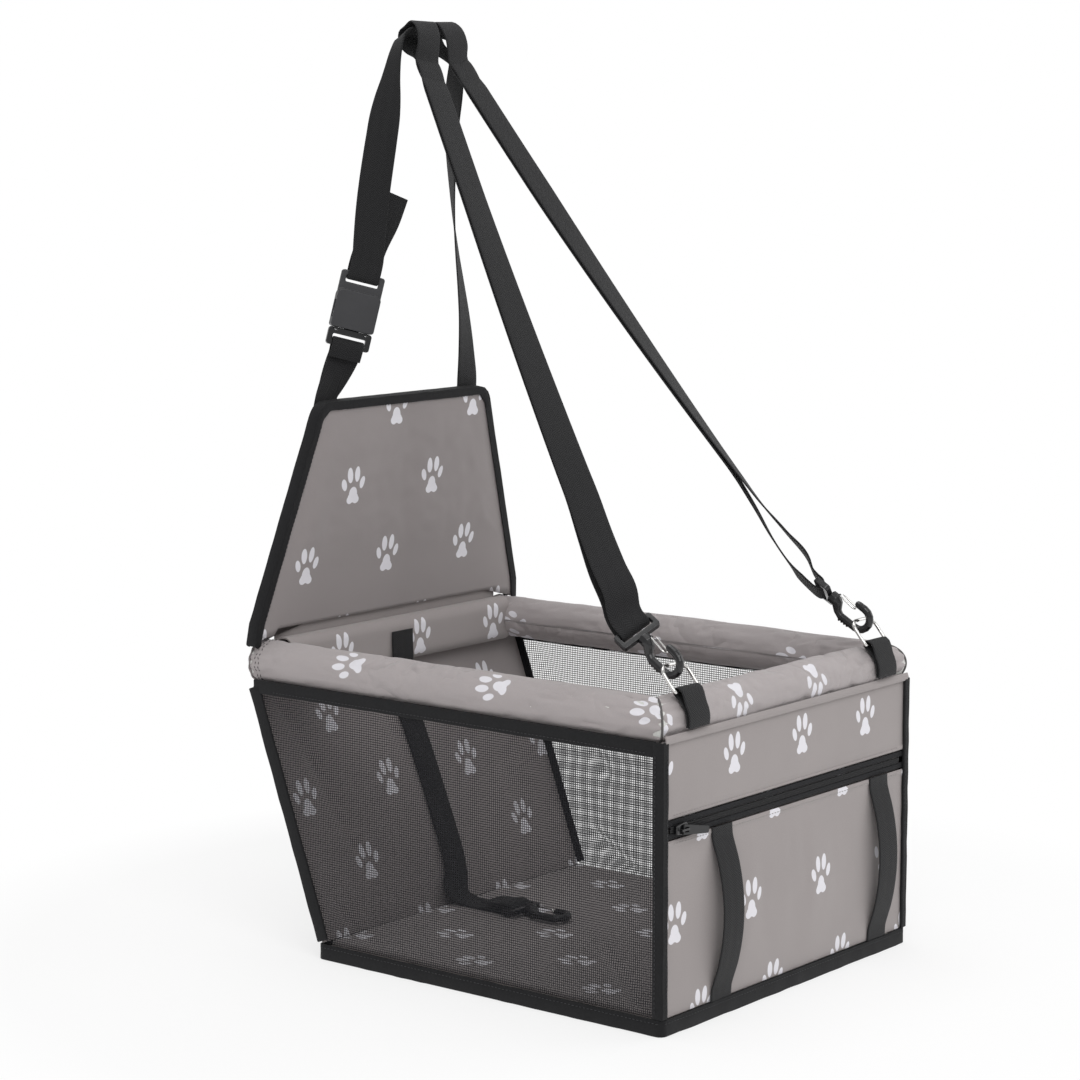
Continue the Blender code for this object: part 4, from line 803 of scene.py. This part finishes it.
def sewn_end(name, side):
    """The tube's rear end, drawn together by its seam."""
    rings, spokes = 8, 60
    shape = bmesh.new()
    rows = []
    for i in range(rings + 1):
        share = i / rings
        row = []
        for k in range(spokes):
            turn = math.tau * k / spokes
            gather = end_gather * math.sin(13 * turn + 2 * share) * share
            reach = (rim_radius - end_inset) * max(share, end_eye_share)
            back = rear_stop + end_gap + end_crown * (1 - share**2) + gather
            spot = (side * rim_x + math.cos(turn) * reach, back, rim_z + math.sin(turn) * reach)
            row.append(shape.verts.new(spot))
        rows.append(row)
    for i in range(rings):
        for k in range(spokes):
            m = (k + 1) % spokes
            shape.faces.new([rows[i][k], rows[i + 1][k], rows[i + 1][m], rows[i][m]])
    shape.faces.new(rows[0])
    bmesh.ops.recalc_face_normals(shape, faces=shape.faces)
    made = from_shape(name, shape)
    lay_print(made, laid(end_print))
    dress(made, "root", rim_oxford)


sewn_end("sewn_end_left", -1)
sewn_end("sewn_end_right", 1)

# Stitches and the zip: each seam is a row of short thread stitches set on the cloth under it. The zip has
# ribbed tapes, a coil chain, and a moulded slider with a pull.

stitch_pitch, stitch_long, stitch_thick, stitch_search = 0.0034, 0.0026, 0.00032, 0.006
dark_thread = threads("dark_thread", (0.03, 0.03, 0.033))
grey_thread = threads("grey_thread", (0.30, 0.28, 0.275))


def stitches(name, body, under, material, runs):
    """Rows of stitches along straight runs, each set down on the nearest face of the piece under it."""
    under = bpy.data.objects[under]
    size = Matrix.Diagonal((stitch_long, stitch_thick * 2, stitch_thick * 2, 1))
    shape = bmesh.new()
    there = under.matrix_world
    back = there.inverted()
    for start, end in runs:
        start, end = Vector(start), Vector(end)
        count = max(1, int((end - start).length / stitch_pitch))
        along = (end - start).normalized()
        for k in range(count):
            spot = start.lerp(end, (k + 0.5) / count)
            hit, place, normal, _ = under.closest_point_on_mesh(back @ spot)
            if not hit or (there @ place - spot).length > stitch_search:
                continue
            place, normal = there @ place, (there.to_3x3() @ normal).normalized()
            flat = (along - normal * along.dot(normal)).normalized()
            turn = Matrix((flat, normal.cross(flat), normal)).transposed().to_4x4()
            lay = Matrix.Translation(place + normal * stitch_thick * 0.4) @ turn @ size
            bmesh.ops.create_icosphere(shape, subdivisions=1, radius=0.5, matrix=lay)
    dress(from_shape(name, shape), body, material)


zip_low, zip_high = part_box("zip_tape_lower")[0].z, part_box("zip_tape_upper")[1].z
seam_off, pocket_seam_x, pocket_seam_y = 0.0040, 0.146, -0.2015
corner_seam_x, corner_seam_y, side_seam_x, post_seam_y = 0.1552, -0.2005, 0.1605, -0.1930
post_low, post_high, net_seam_z, net_seam_start, net_seam_end = 0.016, 0.202, 0.2025, -0.185, 0.174
end_seam_points, end_seam_insets = 30, (0.0060, 0.0095)
foot_seam_z, foot_seam_x, foot_seam_end = 0.0095, 0.157, -0.197
foot_rear_y, foot_rear_end = 0.1305, 0.127
for name, under, z in (
    ("panel_seam", "pocket_front", zip_low - seam_off),
    ("flap_seam", "pocket_top", zip_high + seam_off),
):
    run = [(x, pocket_seam_y, z) for x in (-pocket_seam_x, pocket_seam_x)]
    stitches(name, "root", under, grey_thread, [run])
for side, name in ((-1, "left"), (1, "right")):
    post, beside = f"front_binding_{name}_tape", side * side_seam_x
    corner_run = [(side * corner_seam_x, corner_seam_y, z) for z in (post_low, post_high)]
    stitches(name + "_corner_seam", "root", post, dark_thread, [corner_run])
    net_run = [(beside, y, net_seam_z) for y in (net_seam_start, net_seam_end)]
    stitches(name + "_net_seam", "root", f"net_binding_{name}_tape", dark_thread, [net_run])
    post_run = [(beside, post_seam_y, z) for z in (post_low, post_high)]
    stitches(name + "_post_seam", "root", post, dark_thread, [post_run])
    for inset in end_seam_insets:
        ring = []
        for k in range(end_seam_points + 1):
            turn = math.tau * k / end_seam_points
            x, z = side * rim_x + math.cos(turn) * rim_radius, rim_z + math.sin(turn) * rim_radius
            ring.append((x, rear_stop - inset, z))
        seam = f"{name}_end_seam_{round(inset * 10000)}"
        stitches(seam, "root", name + "_sleeve", dark_thread, zip(ring, ring[1:]))
foot_front, foot_rear = (
    [(x, y, foot_seam_z) for x in (-foot_seam_x, foot_seam_x)] for y in (corner_seam_y, foot_rear_y))
foot_sides = [
    [(x, y, foot_seam_z) for y in (foot_seam_end, foot_rear_end)] for x in (-side_seam_x, side_seam_x)]
stitches("foot_seam", "root", "base_tape", dark_thread, [foot_front, *foot_sides, foot_rear])


def striped_tape():
    """Zip tape: ribs that run along it."""
    finish = Finish("zip_tape", (0.008, 0.008, 0.009), 0.7, Sheen_Weight=0.04, Specular_IOR_Level=0.2)
    place, _, _, z = finish.coordinates("Object")
    ribs = (z * (math.tau / tape_rib)).math("SINE")
    worn = finish.speckle(place, 500.0)
    tone = (ribs * 0.3 + worn) * 0.7
    finish.set("Base Color", finish.mix(tone, (0.005, 0.005, 0.006, 1), (0.022, 0.022, 0.025, 1)))
    finish.bump(ribs * 0.6 + worn * 0.4, 0.00015)
    return finish.material


def moulding(name, colour, roughness, gloss):
    """Moulded plastic, with a faint orange-peel skin."""
    finish = Finish(name, colour, roughness, Coat_Weight=gloss, Coat_Roughness=0.15)
    place, *_ = finish.coordinates("Object")
    skin = finish.speckle(place, 260.0, 2.0)
    haze = finish.speckle(place, 40.0, 2.0)
    finish.set("Base Color", finish.mix(haze, tint(colour, 0.8), tint(colour, 1.3)))
    finish.set("Roughness", haze * 0.12 + roughness - 0.06)
    finish.bump(skin, 0.00004)
    return finish.material


zip_cloth = striped_tape()
gloss_black = moulding("gloss_black", (0.006, 0.006, 0.007), 0.26, 0.25)
dull_black = moulding("dull_black", (0.010, 0.010, 0.011), 0.45, 0.0)
satin_grey = moulding("satin_grey", (0.030, 0.030, 0.033), 0.40, 0.0)
for node in ("zip_tape_lower", "zip_tape_upper"):
    dress(rounded_copy(node, node + "_cloth", 0.0003, longest=0.01), "root", zip_cloth, node)
zip_line, coil_pitch, coil_apart, coil_tall = 0.147, 0.0014, 0.0009, 0.0029
chain_low, chain_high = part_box("zip_chain")
coils = bmesh.new()
coil_size = Matrix.Diagonal((coil_pitch * 0.72, chain_high.y - chain_low.y, coil_tall, 1))
for k in range(int((chain_high.x - chain_low.x) / coil_pitch)):
    for half in (-1, 1):
        x = chain_low.x + (k + 0.5 + 0.25 * half) * coil_pitch
        spot = Vector((x, (chain_low.y + chain_high.y) / 2, zip_line + half * coil_apart))
        lay = Matrix.Translation(spot) @ coil_size
        bmesh.ops.create_icosphere(coils, subdivisions=2, radius=0.5, matrix=lay)
dress(from_shape("coil_chain", coils), "root", dull_black, "zip_chain")


def moulded(node, name, body, material, voxel=0.00035, soften=4):
    """A CAD piece with every edge softened, as it leaves its mould."""
    made = rounded_copy(node, name, 0.0, longest=0.0)
    modify(made, "REMESH", mode="VOXEL", voxel_size=voxel, use_smooth_shade=True)
    modify(made, "SMOOTH", iterations=soften, factor=0.5)
    apply_all(made)
    bpy.ops.object.shade_smooth()
    return dress(made, body, material, node)


moulded("zip_slider", "slider_body", "zip_slider", gloss_black, 0.00022, 3)
moulded("zip_pull", "pull_tab", "zip_pull", dull_black, 0.00022, 3)

# Webbing: each strap is laid along its CAD ribbon's own middle line, with rounded selvedges and a twill
# weave whose direction turns at two lines along the strap.

webbing_thick, strap_step, fold_long = 0.0014, 0.004, 0.010
twill_turn, twill_rib, twill_pick = 0.0042, 0.0019, 0.0009
strap_profile = [(-1, 0.2), (-0.97, 0.75), (-0.88, 0.96), (-0.45, 0.9), (0, 0.96), (0.45, 0.9), (0.88, 0.96),
                 (0.97, 0.75), (1, 0.2)]


def twill():
    """Black webbing whose twill ribs turn at two lines, crossed by fine picks."""
    finish = Finish("twill_webbing", (0.011, 0.011, 0.012), 0.66, Sheen_Weight=0.08, Specular_IOR_Level=0.22)
    place, u, v, _ = finish.coordinates("UV")
    ribs = ((u + v.math("PINGPONG", twill_turn)) * (math.tau / twill_rib)).math("SINE")
    picks = (u * (math.tau / twill_pick)).math("SINE")
    fuzz = finish.speckle(place, 1200.0, 2.0)
    tone = ((ribs * 0.35 + picks * 0.1 + fuzz) * 0.7).math("ADD", 0.0, clamp=True)
    finish.set("Base Color", finish.mix(tone, (0.0045, 0.0045, 0.0050, 1), (0.028, 0.028, 0.030, 1)))
    finish.bump(ribs * 0.6 + picks * 0.2 + fuzz * 0.4, 0.0002)
    return finish.material


twill_webbing = twill()


def matched(first, second):
    """The second closed row, turned and shifted so that its points lie beside the first one's."""
    count = len(first)
    tries = [[second[(k + way * i) % count] for i in range(count)] for k in range(count) for way in (1, -1)]
    return min(tries, key=lambda row: sum((a - b).length for a, b in zip(first, row)))


def strap_rails(node):
    """The two edges of a CAD ribbon as rows of matching points, and whether it closes on itself."""
    source = bpy.data.objects[node]
    shape = bmesh.new()
    shape.from_mesh(source.data)
    shape.transform(source.matrix_world)
    bmesh.ops.remove_doubles(shape, verts=shape.verts, dist=0.00002)
    links = {}
    for edge in shape.edges:
        long = edge.calc_length()
        slim = min(2 * f.calc_area() / long for f in edge.link_faces)
        if edge.calc_face_angle() > math.radians(70) and (long < fold_long or slim < webbing_thick * 1.1):
            a, b = edge.verts
            links.setdefault(a, []).append(b)
            links.setdefault(b, []).append(a)
    corners = [v for v in links if len(links[v]) == 3]
    near = None
    if corners:
        near = [v for v in corners if v is corners[0] or v in links[corners[0]]]
        near += [v for v in corners if v not in near and sum(n in links[v] for n in near) == 2]
    left, rows = set(links), []
    for start in near or list(links):
        if start not in left:
            continue
        row, here = [], start
        while here is not None:
            row.append(here.co.copy())
            left.discard(here)
            ahead = [n for n in links[here] if n in left and not (n in corners and here in corners)]
            here = ahead[0] if ahead else None
        rows.append(row)
    shape.free()
    if not corners:
        rows = [rows[0]] + [matched(rows[0], row) for row in rows[1:]]
    beside = min(rows[1:], key=lambda row: abs((row[0] - rows[0][0]).length - webbing_thick))
    others = [row for row in rows[1:] if row is not beside]
    return [((a + b) / 2, (c + d) / 2) for a, b, c, d in zip(rows[0], beside, *others)], not corners


def finer(points, closed):
    """Points about a strap step apart on a smooth curve through the given ones."""
    if closed:
        points = points + points[:1]
    last = len(points) - 1
    gaps = [max(1e-6, (points[i + 1][0] - points[i][0]).length) for i in range(last)]

    def slope(i, k):
        before = i - 1 if i else (last - 1 if closed else None)
        after = i if i < last else (0 if closed else None)
        if before is None or after is None:
            j = after if before is None else before
            return (points[j + 1][k] - points[j][k]) / gaps[j]
        one = (points[before + 1][k] - points[before][k]) / gaps[before]
        two = (points[after + 1][k] - points[after][k]) / gaps[after]
        return (one * gaps[after] + two * gaps[before]) / (gaps[before] + gaps[after])

    found = []
    for i in range(last):
        steps = max(2, math.ceil(gaps[i] / strap_step))
        for j in range(steps + (i == last - 1)):
            t, h = j / steps, gaps[i]
            here, ahead = 2 * t**3 - 3 * t**2 + 1, 3 * t**2 - 2 * t**3
            leave, arrive = h * (t**3 - 2 * t**2 + t), h * (t**3 - t**2)
            found.append([
                points[i][k] * here + slope(i, k) * leave
                + points[i + 1][k] * ahead + slope(i + 1, k) * arrive
                for k in (0, 1)
            ])
    return found


def webbing(node, name, body):
    """A strap over its CAD ribbon, left without a body if no body is given."""
    rails, closed = strap_rails(node)
    line = finer([((a + b) / 2, b - a) for a, b in rails], closed)
    count = len(line)
    verts, marks, faces, travelled = [], [], [], 0.0
    for i, (middle, across) in enumerate(line):
        before = line[i - 1][0] if i else (line[-2][0] if closed else middle)
        after = line[i + 1][0] if i < count - 1 else (line[1][0] if closed else middle)
        travelled += (middle - line[i - 1][0]).length if i else 0
        normal = across.cross(after - before).normalized()
        for w, n in strap_profile + [(w, -n) for w, n in strap_profile[::-1]]:
            verts.append(middle + across * (w / 2) + normal * (n * webbing_thick / 2))
            marks.append((travelled, w * across.length / 2))
    size = 2 * len(strap_profile)
    for i in range(count - 1):
        for k in range(size):
            m = (k + 1) % size
            faces.append([i * size + k, i * size + m, (i + 1) * size + m, (i + 1) * size + k])
    if not closed:
        faces += [list(range(size))[::-1], [(count - 1) * size + k for k in range(size)]]
    mesh = bpy.data.meshes.new(name)
    mesh.from_pydata(verts, [], faces)
    cloth = mesh.uv_layers.new(name="cloth")
    for loop in mesh.loops:
        cloth.data[loop.index].uv = marks[loop.vertex_index]
    made = only(linked(name, mesh))
    bpy.ops.object.mode_set(mode="EDIT")
    bpy.ops.mesh.select_all(action="SELECT")
    bpy.ops.mesh.normals_make_consistent(inside=False)
    bpy.ops.object.mode_set(mode="OBJECT")
    bpy.ops.object.shade_smooth_by_angle(angle=math.radians(60))
    if body:
        return dress(made, body, twill_webbing, node)
    mesh.materials.append(twill_webbing)
    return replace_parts(made, node)


for node in ("belt_loop_left", "belt_loop_right", "ring_tab_left", "ring_tab_right", "tether_strap"):
    webbing(node, node + "_webbing", "root")
for node in ("headrest_strap", "buckle_strap"):
    webbing(node, node + "_webbing", "backrest")
for side in ("left", "right"):
    strap = webbing("front_strap_" + side, f"front_strap_{side}_webbing", None)
    foot = min((v.co for v in strap.data.vertices), key=lambda p: p.z).copy()
    head = max((v.co for v in strap.data.vertices), key=lambda p: p.z).copy()
    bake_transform(strap)

# Wire and hooks: bright nickel rings and gates, and glossy moulded hooks, eyes and buckle.


def plating():
    """Nickel plate with a slight haze."""
    finish = Finish("bright_nickel", (0.80, 0.79, 0.77), 0.16, 1.0)
    place, *_ = finish.coordinates("Object")
    haze = finish.speckle(place, 180.0, 2.0)
    finish.set("Roughness", haze * 0.12 + 0.10)
    finish.bump(haze, 0.00002)
    return finish.material


bright_nickel = plating()


def round_wire(node, name, body):
    """Wire whose CAD facets are rounded off."""
    made = rounded_copy(node, name, 0.0, longest=0.0)
    modify(made, "SUBSURF", levels=2, render_levels=2)
    apply_all(made)
    bpy.ops.object.shade_smooth()
    return dress(made, body, bright_nickel, node)


for side in ("left", "right"):
    round_wire("ring_" + side, "ring_wire_" + side, "ring_" + side)
    round_wire("hook_gate_" + side, "gate_wire_" + side, "hook_gate_" + side)
    moulded("hook_" + side, "hook_body_" + side, "hook_" + side, gloss_black)
    moulded("hook_eye_" + side, "eye_body_" + side, "root", gloss_black)
round_wire("tether_gate", "tether_gate_wire", "tether_gate")
moulded("tether_hook", "tether_hook_body", "root", gloss_black)
moulded("tether_eye", "tether_eye_body", "root", gloss_black)
moulded("buckle_socket", "socket_body", "backrest", satin_grey, 0.0004)
moulded("buckle_plug", "plug_body", "backrest", gloss_black, 0.0004)
for side in ("left", "right"):
    moulded("prong_" + side, "prong_body_" + side, "prong_" + side, gloss_black, 0.00025, 3)

# Backrest: a stiff board in a printed cover that has soft upright folds, bound with black tape on three
# edges.

backrest_foot, backrest_lean = Vector((0, 0.197, 0.2465)), math.atan(0.1034)
lean_up = Vector((0, -math.sin(backrest_lean), math.cos(backrest_lean)))
lean_back = Vector((0, math.cos(backrest_lean), math.sin(backrest_lean)))
backrest_tall, backrest_wide, backrest_top = 0.176, 0.1585, 0.100
fold_rise, fold_start, fold_ramp, fold_reach, cover_face = 0.0028, 0.040, 0.03, 0.02, 0.003
corner_start, corner_ramp, corner_gap, corner_tall, corner_most = 0.1326, 0.004, 0.0009, 0.006, 0.012
back_print = (0.036, 0.1065)
tape_wide, tape_reach, tape_share, edge_slant_share = 0.011, 0.013, 0.62, 0.95


def within(share):
    """A share kept between 0 and 1."""
    return max(0.0, min(1.0, share))


def half_at(up):
    """Half the backrest's width at a height over its foot."""
    return backrest_wide + (backrest_top - backrest_wide) * up / backrest_tall


def lowered(spot):
    """The backrest's foot corners hang down to the side tubes."""
    low = within(1 - (spot - backrest_foot).dot(lean_up) / corner_tall)
    away = min(rim_radius, abs(abs(spot.x) - rim_x))
    tube_top = rim_z + math.sqrt(rim_radius**2 - away**2) + corner_gap
    drop = min(corner_most, max(0.0, backrest_foot.z - tube_top))
    return spot - lean_up * (drop * low * within((abs(spot.x) - corner_start) / corner_ramp))


def slimmer(spot):
    """The edge tape covers less cloth than its stiff form: points move out to the backrest's edge."""
    up = (spot - backrest_foot).dot(lean_up)
    side, top = (half_at(up) - abs(spot.x)) * edge_slant_share, backrest_tall - up
    inset = min(side, top)
    if inset > tape_reach or inset < 0:
        return spot
    move = inset * (1 - tape_share)
    return spot + (Vector((math.copysign(move, spot.x), 0, 0)) if side < top else lean_up * move)


cover = rounded_copy("backrest_cover", "backrest_cloth", 0.0, longest=0.005)
there = cover.matrix_world.copy()
back = there.inverted()
for v in cover.data.vertices:
    spot = there @ v.co
    up, out = (spot - backrest_foot).dot(lean_up), (spot - backrest_foot).dot(lean_back)
    edge = min(half_at(up) - abs(spot.x), backrest_tall - up) - tape_wide
    inside = within(min(edge / fold_reach, (up - fold_start) / fold_ramp))
    if abs(out) > cover_face and inside:
        fold = 0.5 + 0.5 * noise.noise(Vector((spot.x * 42, up * 6, 2.0))) + 0.25 * noise.noise(spot * 90)
        v.co = back @ (spot + lean_back * math.copysign(fold * fold_rise * inside, out))
    v.co = back @ lowered(there @ v.co)


def on_cover(p):
    """A point of the cover in its print's own measure, up the leaning cloth."""
    return ((there @ p).x - back_print[0], ((there @ p) - backrest_foot).dot(lean_up) - back_print[1])


lay_print(cover, on_cover)
dress(cover, "backrest", back_oxford, "backrest_cover")
edge_tape = rounded_copy("backrest_binding", "backrest_edge_tape", 0.0006, longest=0.008, wobble=0.0003)
for v in edge_tape.data.vertices:
    v.co = edge_tape.matrix_world.inverted() @ lowered(slimmer(edge_tape.matrix_world @ v.co))
dress(edge_tape, "backrest", black_tape, "backrest_binding")


seam_out, seam_foot, seam_head, foot_half, head_half = -0.005, 0.005, 0.158, 0.1500, 0.0985
top_seam_half, top_seam_up = 0.082, 0.1675


def on_backrest(x, up):
    """A place just in front of the backrest's face."""
    return backrest_foot + Vector((x, 0, 0)) + lean_up * up + lean_back * seam_out


edge_runs = [
    (on_backrest(side * foot_half, seam_foot), on_backrest(side * head_half, seam_head)) for side in (-1, 1)]
top_run = [on_backrest(x, top_seam_up) for x in (-top_seam_half, top_seam_half)]
stitches("backrest_seam", "backrest", "backrest_edge_tape", dark_thread, [*edge_runs, top_run])
